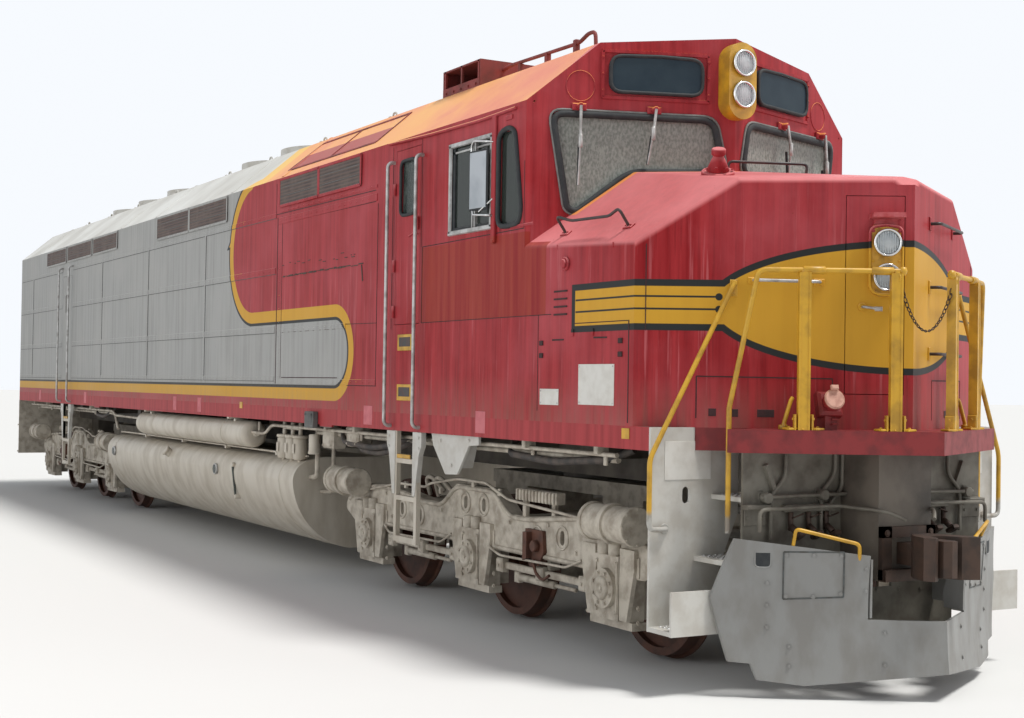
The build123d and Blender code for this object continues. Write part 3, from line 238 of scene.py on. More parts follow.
def shell_paint():
    finish = Finish("faded_and_lit_body_paint", 0.5)
    x, y, height = finish.axes()
    z = height - rail
    upward = finish.facing()[2]
    wide = y.size()
    streaks = finish.noise(1.0, 5, (13, 13, 0.55))
    fine_streaks = finish.noise(1.0, 4, (42, 42, 1.6))
    patches = finish.noise(1.1, 6)
    speckle = finish.noise(38, 3)

    red = finish.mix(streaks.past(0.54, 0.3), fade_red, deep_red)
    red = finish.mix(fine_streaks.past(0.60, 0.2) * 0.6, red, tint(118, 24, 28))
    pale = finish.mix(patches, tint(176, 78, 88), tint(190, 98, 104))
    red = finish.mix(patches.past(0.54, 0.3) * 0.5, red, pale)
    drips = finish.noise(1.0, 5, (26, 26, 0.9)).past(0.63, 0.08) * (1 - z.past(3.0, 0.8)) * z.past(1.9, 0.3)
    red = finish.mix(drips * 0.55, red, tint(196, 108, 112))
    # Upward red faces turn pink: sun-faded paint and painted highlight.
    red = finish.mix(upward.past(0.25, 0.5) * (patches.past(0.5, 0.5) * 0.45 + 0.42), red, faded_and_lit_pink)
    repaint = x.within(6.46, 8.52) * z.within(2.44, 3.07) * wide.past(1.5)
    red = finish.mix(repaint * 0.8, red, finish.mix(streaks.past(0.55, 0.3), brick, deep_red))

    # Upward silver faces lighter: painted highlight.
    silver_top_highlight = finish.mix(patches.past(0.5, 0.3), highlight_silver, tint(188, 186, 180))
    grey = finish.mix(streaks.past(0.56, 0.25) * 0.6, silver, tint(132, 131, 127))
    grey = finish.mix(patches.past(0.55, 0.2) * 0.45, grey, tint(176, 175, 172))
    grey = finish.mix(upward.past(0.2, 0.3), grey, silver_top_highlight)

    distance = stripe_distance(x, z)
    colour = finish.mix(distance.past(0), grey, red)
    top = upward.past(0.3, 0.2)
    # The red roof's upward faces in apricot: the roof's own paint lightened with painted sunlight.
    roof_paint_and_sunlight = finish.mix(patches.past(0.5, 0.4), apricot, tint(232, 160, 120))
    roof_red_and_sunlight = finish.mix(patches.past(0.58, 0.2) * 0.6, roof_paint_and_sunlight, tint(214, 126, 116))
    roof_zone = top * (1 - x.past(8.3)) * distance.past(0) * z.past(4.0)
    cowl = x.within(3.06, 5.2) * z.within(4.13, 4.31) * (1 - z.past(4.6))
    colour = finish.mix(roof_zone * 0.95, colour, roof_red_and_sunlight)
    colour = finish.mix(roof_zone * cowl * 0.9, colour, tint(160, 74, 78))
    on_hood = 1 - x.past(8.6)
    yellow = finish.mix(streaks.past(0.6, 0.3) * 0.3, gold, tint(188, 138, 48))
    # Upward yellow faces lighter: painted highlight.
    yellow = finish.mix(top * 0.7, yellow, tint(246, 204, 120))
    stripe = distance.within(-0.06, 0.06) * on_hood
    stripe_wide = distance.within(-0.06, 0.30) * on_hood * top
    colour = finish.mix(stripe.above(stripe_wide), colour, yellow)
    edge = distance.within(-0.088, -0.058) * on_hood * (1 - top)
    colour = finish.mix(edge, colour, line_black)

    band, along, rise = nose_band_distance(x, y, z)
    ahead = x.past(8.8)
    colour = finish.mix((1 - band.past(0)) * ahead, colour, line_black)
    colour = finish.mix((1 - band.past(-0.045)) * ahead, colour, yellow)
    fine = (rise - 0.056).size().below((rise + 0.026).size())
    pin = (1 - fine.past(0.0065, 0.003)) * along.past(1.26)
    dot_along = along - 1.262
    dots = (dot_along * dot_along + fine * fine).root()
    pin = pin.above(1 - dots.past(0.024, 0.004)) * x.past(8.9) * (1 - band.past(-0.05))
    colour = finish.mix(pin, colour, line_black)

    under_glass = (x + y.size() * cab_slant - cab_ridge_x) / math.hypot(1, cab_slant)
    sill_strip = under_glass.within(0.0, 0.085) * z.past(3.2) * top
    colour = finish.mix(sill_strip, colour, tint(224, 142, 82))

    grime = (1 - z.past(1.75, 0.5)) * streaks.past(0.45, 0.3)
    colour = finish.mix(grime * 0.35, colour, dust)
    chips = speckle.past(0.735, 0.03) * patches.past(0.5, 0.2)
    colour = finish.mix(chips * 0.6, colour, rust)
    finish.set(Base_Color=colour, Roughness=patches * 0.25 + 0.36, Specular_IOR_Level=0.14)
    ripple = finish.noise(2.2, 2) * 0.8 + speckle * 0.06
    return finish.bump(ripple, 0.12, 0.02)


shell = shell_paint()
yellow_paint = plain("rail_yellow", tint(206, 158, 40), tint(150, 112, 36), 0.42, scale=7, grain=90)
white_paint = plain("worn_white_paint", tint(198, 196, 190), tint(166, 158, 146), 0.5, scale=7, grain=70,
                    amount=0.45)
# The end plate's dark paint is soot and painted shade.
end_paint = plain("sooty_and_shaded_end_paint", tint(116, 112, 102), tint(70, 62, 52), 0.6, scale=6, grain=50,
                  amount=0.6)
# The plow's paint is darkened as painted shade, with scuffed patches.
plow_paint = plain("scuffed_and_shaded_plow_paint", tint(138, 138, 136), tint(108, 102, 94), 0.48, scale=6, grain=40,
                   depth=0.3, amount=0.4, stretch=(1, 1, 0.5))
truck_paint = plain("dusty_truck_paint", tint(190, 182, 168), tint(112, 98, 82), 0.62, scale=9, grain=45,
                    depth=0.35, amount=0.55)
tank_paint = plain("tank_paint", tint(200, 192, 178), tint(160, 148, 130), 0.45, scale=5, grain=30,
                   depth=0.15, amount=0.5, stretch=(1, 1, 0.35))
wheel_iron = plain("rusty_wheel", tint(88, 54, 40), tint(58, 44, 38), 0.6, 0.3, scale=6, grain=50)
dark_iron = plain("dark_iron", tint(70, 52, 42), tint(44, 38, 34), 0.6, 0.3, scale=8, grain=60)
machinery = plain("machinery_paint", tint(98, 100, 98), tint(62, 60, 58), 0.6, scale=5)
rail_silver = plain("silver_handrail", tint(186, 186, 184), tint(128, 124, 120), 0.36, 0.35, scale=12,
                    grain=80)
black_rail = plain("black_grab_iron", tint(34, 32, 32), tint(84, 50, 42), 0.45, scale=14, amount=0.5)
rubber = plain("window_rubber", tint(34, 37, 40), tint(58, 60, 60), 0.75, scale=20)
platform_red = plain("platform_red", tint(130, 34, 36), tint(92, 26, 28), 0.55, scale=9, grain=60)
rusty_red = plain("roof_box_red", tint(128, 46, 42), tint(84, 40, 34), 0.65, scale=5)
board_blank = plain("board_enamel", tint(38, 52, 62), tint(52, 66, 74), 0.35, scale=3, depth=0.02,
                    Specular_IOR_Level=0.15)
cab_enamel = plain("cab_enamel", tint(118, 128, 116), tint(96, 104, 96), 0.55, scale=5)
seat_vinyl = plain("seat_vinyl", tint(44, 42, 40), tint(66, 62, 58), 0.5, scale=12, grain=120)
hose_rubber = plain("hose_rubber", tint(52, 48, 46), tint(96, 86, 78), 0.7, scale=12)
chrome = plain("lamp_chrome", tint(214, 214, 212), tint(184, 184, 184), 0.18, 1.0, scale=5, grain=20,
               depth=0.01)
notice_white = plain("blank_notice", tint(214, 212, 206), tint(196, 192, 184), 0.5, scale=9)


def screen_finish():
    finish = Finish("vent_screen", 0.7)
    waves = finish.node("ShaderNodeTexWave", {"wave_type": "BANDS", "bands_direction": "Z"},
                        {"Vector": finish.place, "Scale": 9, "Distortion": 0.2})
    dirt = finish.noise(5, 5)
    colour = finish.mix(waves, tint(58, 46, 44), tint(96, 78, 72))
    finish.set(Base_Color=finish.mix(dirt.past(0.55, 0.3) * 0.6, colour, tint(110, 96, 88)))
    return finish.bump(waves, 0.6, 0.01)


def glass_finish(name, colour, dusty, base_alpha, stretch, side_too=False):
    """Dusty glass: streaked, milky and partly see-through."""
    finish = Finish(name, 0.12)
    veil = finish.noise(1.0, 6, stretch).past(0.5, 0.45)
    if side_too:
        inboard = 1 - finish.axes()[1].size().past(1.49)
        veil = veil * inboard
        dusty = finish.mix(inboard, tint(86, 92, 84), dusty)
        colour = finish.mix(inboard, tint(54, 60, 56), colour)
    finish.set(Base_Color=finish.mix(veil, colour, dusty), Roughness=veil * 0.4 + 0.08)
    finish.set(Alpha=veil * (1 - base_alpha) * 0.6 + base_alpha)
    finish.set(Specular_IOR_Level=0.25)
    finish.material.surface_render_method = "DITHERED"
    return finish


screen = screen_finish()
windshield = glass_finish("dusty_windshield", tint(118, 124, 118), tint(170, 175, 168), 0.84, (60, 60, 34),
                           side_too=True)
side_glass = glass_finish("side_glass", tint(48, 58, 56), tint(86, 92, 88), 0.74, (16, 16, 6))
lamp_glass = glass_finish("lamp_lens", tint(190, 200, 206), tint(225, 228, 230), 0.4, (6, 6, 6))


def underframe_paint():
    finish = Finish("underframe_paint", 0.6)
    x, y, height = finish.axes()
    z = height - rail
    streaks = finish.noise(1.0, 5, (13, 13, 0.55))
    patches = finish.noise(3, 6)
    red = finish.mix(streaks.past(0.55, 0.25), fade_red, deep_red)
    # Dark grey under the body, darkened further as painted shade.
    grey = finish.mix(patches.past(0.5, 0.3), tint(104, 96, 86), tint(60, 54, 48))
    skin = y.size().past(1.52) * z.past(1.50)
    low_stripe = (z - 1.81).size()
    rearward = 1 - x.past(4.6)
    colour = finish.mix(skin, grey, red)
    colour = finish.mix(skin * rearward * (1 - low_stripe.past(0.06)), colour, gold)
    finish.set(Base_Color=colour)
    return finish.bump(finish.noise(30, 3), 0.15, 0.003)


under_paint = underframe_paint()


def visor_finish():
    """The nose lamp's yellow plate under its red visor."""
    finish = Finish("nose_lamp_paint", 0.45)
    x, y, height = finish.axes()
    patches = finish.noise(12, 5)
    yellow = finish.mix(patches.past(0.55, 0.2), gold, tint(150, 112, 36))
    red = finish.mix(patches.past(0.5, 0.3), fade_red, tint(190, 96, 100))
    finish.set(Base_Color=finish.mix((height - rail).past(3.005, 0.01), yellow, red))
    return finish.bump(finish.noise(70, 3), 0.15, 0.002)


visor_paint = visor_finish()


def step_rail_finish():
    """Yellow handrails whose feet are worn to silver."""
    finish = Finish("yellow_rail_paint", 0.42)
    height = finish.axes()[2]
    patches = finish.noise(9, 5)
    yellow = finish.mix(patches.past(0.55, 0.2) * 0.7, tint(204, 158, 44), tint(156, 116, 38))
    bare = finish.mix(patches.past(0.5, 0.2), tint(172, 170, 164), tint(132, 122, 110))
    worn = (height - rail + patches * 0.1).past(1.17, 0.03)
    finish.set(Base_Color=finish.mix(worn, bare, yellow))
    return finish.bump(finish.noise(90, 3), 0.15, 0.002)


step_rail_paint = step_rail_finish()

node_finishes = {
    shell: """hood_wall_right hood_wall_left hood_roof rear_wall cab_wall_right cab_wall_left cab_roof
        cab_front nose_top nose_side_walls nose_front cab_door_right cab_door_left engine_room_door_right
        engine_room_door_left rear_door nose_door""",
    under_paint: "underframe",
    step_rail_paint: "front_handrails",
    yellow_paint: "cab_headlight",
    visor_paint: "nose_headlight",
    white_paint: "front_steps fan_housings",
    end_paint: "front_end_plate",
    plow_paint: "snowplow",
    truck_paint: """front_truck_frame rear_truck_frame front_truck_journal_boxes rear_truck_journal_boxes
        front_truck_motors rear_truck_motors front_truck_brake_gear rear_truck_brake_gear rear_end_plate""",
    tank_paint: "fuel_tank air_reservoirs side_ladders",
    dark_iron: "couplers radiator_fan_1 radiator_fan_2 radiator_fan_3",
    machinery: "engine_block",
    cab_enamel: "cab_bulkhead cab_floor control_stand",
    seat_vinyl: "cab_seats",
    rail_silver: "side_handrails",
    platform_red: "front_platform",
    rusty_red: "roof_equipment",
    screen: "side_grilles",
    board_blank: "number_boards",
    windshield: "cab_glass",
    side_glass: "cab_door_glass_right cab_door_glass_left",
}
for finish, names in node_finishes.items():
    for name in names.split():
        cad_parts[name].data.materials.clear()
        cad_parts[name].data.materials.append(finish.material)
for truck in truck_places:
    for number in (1, 2, 3):
        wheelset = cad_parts[f"{truck}_truck_wheelset_{number}"]
        wheelset.data.materials.clear()
        wheelset.data.materials.append(wheel_iron.material)


# Mesh building.

def turn(sides):
    return [2 * math.pi * i / sides for i in range(sides)]


def across(normal):
    """Two directions that lie in the plane of a normal; the second is as upright as it can be."""
    normal = Vector(normal).normalized()
    first = UP.cross(normal) if abs(normal.z) < 0.95 else Vector((0, 1, 0)).cross(normal)
    first.normalize()
    return first, normal.cross(first)


def circle(centre, a, b, radius, sides):
    """Points round a centre, in the plane of two directions."""
    return [centre + a * radius * math.cos(t) + b * radius * math.sin(t) for t in turn(sides)]


def rounded(points, bend):
    """The points of a line with each corner turned into an arc of about the bend radius."""
    points = [Vector(p) for p in points]
    if not bend:
        return points
    path = [points[0]]
    for before, here, after in zip(points, points[1:], points[2:]):
        back, ahead = before - here, after - here
        reach = min(bend, back.length * 0.45, ahead.length * 0.45)
        start, end = here + back.normalized() * reach, here + ahead.normalized() * reach
        for step in range(6):
            t = step / 5
            path.append(start * (1 - t) ** 2 + here * 2 * t * (1 - t) + end * t ** 2)
    return path + [points[-1]]


class Face:
    """A surface that pieces are laid on; a spot is a length, a height over the rail and a distance off."""

    def __init__(self, spot, normal):
        self.spot, self.normal = spot, Vector(normal).normalized()

    def __call__(self, along, z, out=0.0):
        return self.spot(along, z) + self.normal * out

    def raised(self, out):
        return Face(lambda along, z: self(along, z, out), self.normal)


class Piece:
    """The faces of one Blender mesh, gathered part by part."""

    def __init__(self, name):
        self.name, self.points, self.faces, self.smooth = name, [], [], []

    def add(self, points, faces, smooth=False):
        start = len(self.points)
        self.points += [tuple(p) for p in points]
        self.faces += [tuple(start + i for i in face) for face in faces]
        self.smooth += [smooth] * len(faces)

    def rings(self, rings, smooth=True, caps=True):
        """Joins equal closed rings of points into a skin."""
        count = len(rings[0])
        faces = []
        for row in range(len(rings) - 1):
            for i in range(count):
                j = (i + 1) % count
                faces.append([row * count + i, row * count + j, (row + 1) * count + j, (row + 1) * count + i])
        self.add([p for ring in rings for p in ring], faces, smooth)
        if caps:
            self.add(rings[0], [reversed(range(count))])
            self.add(rings[-1], [range(count)])

    def turned(self, centre, normal, profile, sides, caps=True):
        """A shape turned about a normal, from the radius and height of each of its rings."""
        centre, n = Vector(centre), Vector(normal).normalized()
        a, b = across(n)
        rings = [circle(centre + n * high, a, b, radius, sides) for radius, high in profile]
        self.rings(rings, caps=caps)

    def box(self, low, high):
        (x0, y0, z0), (x1, y1, z1) = low, high
        flat = [(x0, y0), (x1, y0), (x1, y1), (x0, y1)]
        self.rings([[(x, y, z) for x, y in flat] for z in (z0, z1)], smooth=False)

    def block(self, centre, normal, width, tall, thick, soft=0.0):
        """A plate whose face looks along the normal, with its edges eased by soft."""
        centre, n = Vector(centre), Vector(normal).normalized()
        a, b = across(n)
        half = thick / 2
        eased = [(soft, -half), (0, soft - half), (0, half - soft), (soft, half)]
        rings = []
        for inset, depth in eased if soft else [(0, -half), (0, half)]:
            w, t = width / 2 - inset, tall / 2 - inset
            corners = ((-w, -t), (w, -t), (w, t), (-w, t))
            rings.append([centre + a * i + b * j + n * depth for i, j in corners])
        self.rings(rings, smooth=False)

    def plate(self, face, spot, width, tall, thick, soft=0.0):
        self.block(face(*spot), face.normal, width, tall, thick, soft)

    def slab(self, outline, normal, thick):
        """A flat plate with any outline, given in its own plane."""
        n = Vector(normal).normalized() * thick
        self.rings([outline, [p + n for p in outline]], smooth=False)

    def strip(self, start, end, normal, width, thick, soft=0.0):
        """A flat bar from start to end that lies on a surface with the given normal."""
        start, end, n = Vector(start), Vector(end), Vector(normal).normalized()
        wide = n.cross((end - start).normalized()) * (width / 2)
        lift = n * thick
        self.rings([[p - wide, p + wide, p + wide * (1 - soft) + lift, p - wide * (1 - soft) + lift]
                    for p in (start, end)], smooth=False)

    def bar(self, face, start, end, width, thick, soft=0.0):
        self.strip(face(*start), face(*end), face.normal, width, thick, soft)

    def border(self, face, across_span, height_span, width, thick, soft=0.0, lap=0.0):
        """Flat bars round a rectangle on a face; the level ones run past its corners by lap."""
        (a0, a1), (z0, z1) = across_span, height_span
        for z in height_span:
            self.bar(face, (a0 - lap, z), (a1 + lap, z), width, thick, soft)
        for a in across_span:
            self.bar(face, (a, z0), (a, z1), width, thick, soft)

    def drum(self, start, end, radius, sides=20, ease=0.0, end_radius=None):
        start, end = Vector(start), Vector(end)
        last, length = end_radius or radius, (end - start).length
        profile = [(radius, 0), (last, length)]
        if ease:
            profile = [(radius - ease, 0), (radius, ease), (last, length - ease), (last - ease, length)]
        self.turned(start, end - start, profile, sides)

    def stub(self, face, spot, high, radius, sides=20, ease=0.0):
        """A round boss that stands on a face."""
        start = face(*spot)
        self.drum(start, start + face.normal * high, radius, sides, ease)

    def tube(self, points, radius, bend=0.0, sides=8):
        """A round bar along straight runs with rounded corners."""
        path = rounded(points, bend)
        rings, a = [], None
        for i, p in enumerate(path):
            ahead = (path[min(i + 1, len(path) - 1)] - path[max(i - 1, 0)]).normalized()
            a = across(ahead)[0] if a is None else (a - ahead * a.dot(ahead)).normalized()
            rings.append(circle(p, a, ahead.cross(a), radius, sides))
        self.rings(rings)

    def run(self, place, spots, radius, bend=0.0, sides=8):
        """A bar through spots that are given on a face or on one side."""
        self.tube([place(*spot) for spot in spots], radius, bend, sides)

    def hoop(self, points, radius, sides=6):
        self.tube(points + points[:1], radius, 0, sides)

    def bolt(self, place, normal, radius=0.012, high=0.01):
        """A hexagon head on a washer."""
        self.turned(place, normal, [(radius * 1.45, 0), (radius * 1.45, high * 0.25)], 12)
        ease = radius * 0.12
        head = [(radius - ease, high * 0.25), (radius, high * 0.25 + ease), (radius, high - ease),
                (radius - ease, high)]
        self.turned(place, normal, head, 6)

    def bolts(self, face, spots, radius=0.012, high=0.01):
        for spot in spots:
            self.bolt(face(*spot), face.normal, radius, high)

    def rivet(self, place, normal, radius=0.009):
        profile = [(radius, 0), (0.8 * radius, 0.42 * radius), (0.35 * radius, 0.62 * radius)]
        self.turned(place, normal, profile, 8)

    def build(self, finish, slot, body="root"):
        mesh = bpy.data.meshes.new(self.name)
        mesh.from_pydata(self.points, [], self.faces)
        mesh.polygons.foreach_set("use_smooth", self.smooth)
        mesh.materials.append(finish.material)
        made = bpy.data.objects.new(self.name, mesh)
        bpy.context.scene.collection.objects.link(made)
        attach(made, body)


# Faces and places that the pieces share.

sides = (-1, 1)


def body_side(sign):
    return Face(lambda x, z: Vector((x, sign * side, rail + z)), (0, sign, 0))


def facet(front_x, corner_x, sign):
    """Half of a V-shaped front, measured from its ridge."""
    deep = front_x - corner_x
    length = math.hypot(deep, side)

    def spot(along, z):
        share = along / length
        return Vector((front_x - deep * share, sign * side * share, rail + z))
    return Face(spot, (side, sign * deep, 0))


def beside(sign):
    """Puts x, y and z above the rail on one side of the machine."""
    return lambda x, y, z: Vector((x, sign * y, rail + z))


body = {sign: body_side(sign) for sign in sides}
nose = {sign: facet(ridge_x, nose_corner_x, sign) for sign in sides}
cab = {sign: facet(cab_ridge_x, cab_corner_x, sign) for sign in sides}


# Seams, battens and rivets on the body.

seam_dark = plain("seam_shadow", tint(58, 28, 30), tint(40, 30, 28), 0.8, scale=18, grain=90, depth=0.1)
seam_grey = plain("silver_seam_shadow", tint(88, 92, 92), tint(70, 66, 60), 0.8, scale=18, grain=90,
                  depth=0.1)

engine_door = (-6.86, -6.14)
cab_join = 2.96
batten_rows = [(3.665, 0.055), (3.085, 0.07), (2.47, 0.075), (1.955, 0.05)]
batten_columns = [0.58, -1.86, -4.30, -9.10]
cab_strips = [(3.04, 5.53, 3.60, 0.07), (3.10, 5.53, 3.70, 0.03), (3.16, 4.85, 2.46, 0.05),
              (3.10, 5.55, 1.93, 0.055)]
# Seams of the red cab side: x and height of both ends, and the width.
cab_side_seams = [
    (3.005, 1.905, 3.005, 3.64, 0.016), (3.145, 1.96, 3.145, 3.64, 0.007), (5.55, 1.905, 5.55, 3.54, 0.009),
    (2.96, 3.64, 2.96, 4.0, 0.006), (3.10, 3.575, 5.50, 3.565, 0.010), (2.96, 3.675, 5.50, 3.665, 0.008),
    (3.18, 1.97, 4.66, 1.97, 0.008), (4.90, 1.90, 5.56, 1.90, 0.007), (1.67, 3.10, 2.93, 3.075, 0.006),
    (4.80, 2.475, 5.56, 2.465, 0.006), (6.47, 3.08, 8.19, 3.095, 0.007), (6.47, 2.44, 8.60, 2.44, 0.006),
    (8.62, 2.255, 8.78, 2.255, 0.012), (9.17, 2.262, 9.34, 2.26, 0.012), (8.91, 2.365, 9.59, 2.367, 0.006),
    (9.60, 1.69, 9.60, 2.37, 0.011), (8.42, 1.745, 8.42, 2.44, 0.006), (7.82, 3.10, 7.82, 3.13, 0.006),
    (8.188, 3.10, 8.188, 3.60, 0.006), (6.47, 2.44, 6.47, 3.08, 0.006), (6.445, 3.08, 6.445, 4.0, 0.005),
    (5.865, 2.40, 5.865, 4.0, 0.006)]
louvre_heights = (2.60, 2.545, 2.49, 2.435)
battens = Piece("side_battens")
rivets = Piece("side_rivets")
lines = Piece("batten_seam_shadows")
red_lines = Piece("cab_seams")


def rivet_row(face, start, step, count):
    """Rivets from a start, one step of length and height apart."""
    for i in range(count):
        spot = face(start[0] + step[0] * i, start[1] + step[1] * i)
        rivets.rivet(spot, face.normal, 0.008)


for face in body.values():
    for z, tall in batten_rows:
        for x0, x1 in ((rear_end + 0.06, engine_door[0]), (engine_door[1], cab_join)):
            battens.bar(face, (x0, z), (x1, z), tall, 0.004, 0.1)
            # A dark line along each batten's lower edge: painted shadow.
            lines.bar(face, (x0, z - tall / 2), (x1, z - tall / 2), 0.006, 0.0045)
            rivet_row(face.raised(0.004), (x0 + 0.08, z), (0.17, 0), int((x1 - x0) / 0.17))
    for x in batten_columns:
        battens.bar(face, (x, 1.93), (x, 3.64), 0.045, 0.005, 0.1)
        # A dark line along one edge of each upright batten: painted shadow.
        lines.bar(face, (x + 0.025, 1.93), (x + 0.025, 3.64), 0.005, 0.005)
        rivet_row(face.raised(0.005), (x, 2.0), (0, 0.17), 10)
    for x0, x1, z, tall in cab_strips:
        battens.bar(face, (x0, z), (x1, z), tall, 0.005, 0.1)
        rivet_row(face.raised(0.005), (x0 + 0.07, z), (0.14, 0), int((x1 - x0) / 0.14))
    rivet_row(face, (3.075, 1.98), (0, 0.14), 12)
    for x0, z0, x1, z1, wide in cab_side_seams:
        red_lines.bar(face, (x0, z0), (x1, z1), wide, 0.002)
    for z in louvre_heights:
        red_lines.bar(face, (8.64, z, -0.001), (8.82, z, -0.001), 0.013, 0.006)
    for x in (9.505, 8.472):
        for z in (2.235, 2.145):
            red_lines.plate(face, (x, z, 0.004), 0.05, 0.035, 0.012, 0.004)
battens.build(shell, "silver_paint")
rivets.build(shell, "silver_paint")
lines.build(seam_grey, "silver_paint")
red_lines.build(seam_dark, "red_paint")

# The rough, rusted seam on the tall panel behind the cab, with its flaking edge.
rough = Piece("rusted_seam")
for face in body.values():
    x, z = 3.18, 3.016
    while x < 5.2:
        step = chance.uniform(0.03, 0.12)
        middle = (x + step / 2, z + chance.uniform(-0.006, 0.006), 0.001)
        rough.plate(face, middle, step, chance.uniform(0.006, 0.02), 0.006, 0.002)
        if chance.random() < 0.4:
            flake = (x, z + chance.uniform(0.08, 0.14), 0.001)
            rough.plate(face, flake, chance.uniform(0.02, 0.09), 0.008, 0.006, 0.002)
        x += step * 1.15
    rough.bar(face, (5.20, 3.01), (5.23, 2.86), 0.02, 0.004)
    for i in range(9):
        rough.plate(face, (3.2 + 0.17 * i, 2.437, 0.001), chance.uniform(0.03, 0.12), 0.008, 0.005, 0.002)
rough.build(dark_iron, "red_paint")

# Frames of the air intakes: a raised rim and the wire lines across the screens.
intake_spans = [(3.07, 4.13, 3.75), (4.15, 5.17, 3.75), (-1.45, -0.08, 3.75), (-0.05, 1.37, 3.75),
                (-8.0, -6.6, 3.79), (-6.5, -4.95, 3.79), (-4.85, -3.46, 3.79)]
intake_top = 4.03
rims = Piece("intake_rims")
wires = Piece("intake_wires")
for face in body.values():
    for x0, x1, low in intake_spans:
        rims.border(face.raised(0.012), (x0, x1), (low, intake_top), 0.03, 0.005, 0.2)
        for share in (0.36, 0.68):
            z = low + (intake_top - low) * share
            wires.run(face, [(x0, z, 0.011), (x1, z, 0.011)], 0.004, sides=5)
rims.build(shell, "silver_paint")
wires.build(machinery, "dark_metal")


# The sunken panel on the roof slope above the front intakes.

def roof_slope(sign):
    """The slope from the eave to the shoulder, with a share of the way up in place of a height."""
    low, high = Vector((0, sign * side, eave)), Vector((0, sign * shoulder_y, shoulder_z))
    normal = (0, sign * (high.z - low.z), side - shoulder_y)
    return Face(lambda x, share: low.lerp(high, share) + Vector((x, 0, 0)), normal)


slope_panel = Piece("shoulder_panel")
for sign in sides:
    for start, end in (((3.02, 0.2), (5.25, 0.2)), ((3.12, 0.86), (5.25, 0.86)), ((3.02, 0.2), (3.12, 0.86)),
                       ((5.25, 0.2), (5.25, 0.86)), ((4.14, 0.2), (4.14, 0.86))):
        slope_panel.bar(roof_slope(sign), start, end, 0.03, 0.007, 0.1)
slope_panel.build(rusty_red, "red_paint")


# Cab side: windows, gutter and door fittings.

window_x, window_z = (6.98, 7.68), (3.15, 3.86)
frames = Piece("sliding_window_frames")
tracks = Piece("sliding_window_tracks")
gaskets = Piece("window_gaskets")
trim = Piece("cab_side_trim")
for face in body.values():
    (x0, x1), (z0, z1) = window_x, window_z
    inner = face.raised(-0.02)
    frames.border(face, window_x, window_z, 0.042, 0.014, 0.3, 0.02)
    for x in (7.365, 7.405):
        frames.bar(inner, (x, z0), (x, z1), 0.02, 0.026, 0.2)
    frames.bar(inner, (x0, 3.80), (x1, 3.80), 0.014, 0.012)
    tracks.bar(inner, (x0 + 0.035, z0 + 0.02), (x0 + 0.035, z1 - 0.02), 0.05, 0.012)
    tracks.bar(inner, (x0 + 0.02, z0 + 0.03), (x1 - 0.02, z0 + 0.03), 0.02, 0.014)
    quarter = [(7.97, 3.13), (7.79, 3.14), (7.79, 3.85), (7.94, 3.885), (8.05, 3.84), (8.155, 3.24),
               (8.12, 3.14), (7.96, 3.13)]
    gaskets.run(face.raised(0.004), quarter, 0.02, 0.09)
    door_pane = [(6.17, 3.38), (6.025, 3.385), (6.025, 3.855), (6.325, 3.855), (6.325, 3.385), (6.16, 3.38)]
    gaskets.run(face.raised(0.003), door_pane, 0.015, 0.07)
    trim.plate(face, (7.735, 3.515, 0.012), 0.062, 0.99, 0.024, 0.006)
    trim.plate(face, (7.735, 3.03, 0.014), 0.04, 0.03, 0.028, 0.005)
    gutter = [(5.80, 4.035, 0.012), (6.65, 4.008, 0.016), (7.50, 3.998, 0.016), (8.06, 4.012, 0.012)]
    trim.run(face, gutter, 0.013, 0.1)
    trim.plate(face, (7.95, 3.955, 0.006), 0.1, 0.035, 0.012, 0.004)
    trim.plate(face, (8.16, 3.12, 0.004), 0.34, 0.02, 0.008, 0.003)
    for z in (3.62, 2.95, 2.55):
        trim.drum(face(5.925, z - 0.05, 0.012), face(5.925, z + 0.05, 0.012), 0.014, 10, 0.003)
        trim.plate(face, (5.895, z, 0.003), 0.07, 0.11, 0.006, 0.002)
    trim.plate(face, (6.38, 3.29, 0.012), 0.05, 0.11, 0.02, 0.006)
    trim.run(face, [(6.385, 3.20, 0.01), (6.385, 3.20, 0.045), (6.30, 3.18, 0.045)], 0.009, 0.02)
frames.build(rail_silver, "handrail_silver")
tracks.build(rubber, "dark_metal")
gaskets.build(rubber, "dark_metal")
trim.build(shell, "red_paint")

# Behind the side glass: a grey blind in the rear pane and the dark cabinet by the quarter window.
blind = Piece("cab_blind")
cabinet = Piece("cab_cabinet")
for face in body.values():
    blind.plate(face, (7.19, 3.50, -0.075), 0.33, 0.66, 0.006, 0.002)
    for i in range(11):
        z = 3.21 + 0.058 * i
        blind.bar(face.raised(-0.071), (7.04, z), (7.34, z), 0.03, 0.004, 0.5)
    cabinet.plate(face, (7.90, 3.47, -0.11), 0.13, 0.56, 0.10, 0.012)
    for z in (3.30, 3.47, 3.64):
        cabinet.plate(face, (7.90, z, -0.056), 0.09, 0.02, 0.008, 0.003)
blind.build(plain("window_blind", tint(134, 132, 120), tint(112, 110, 100), 0.8, scale=14, grain=90,
                  depth=0.1), "cab_green")
cabinet.build(rubber, "dark_metal")

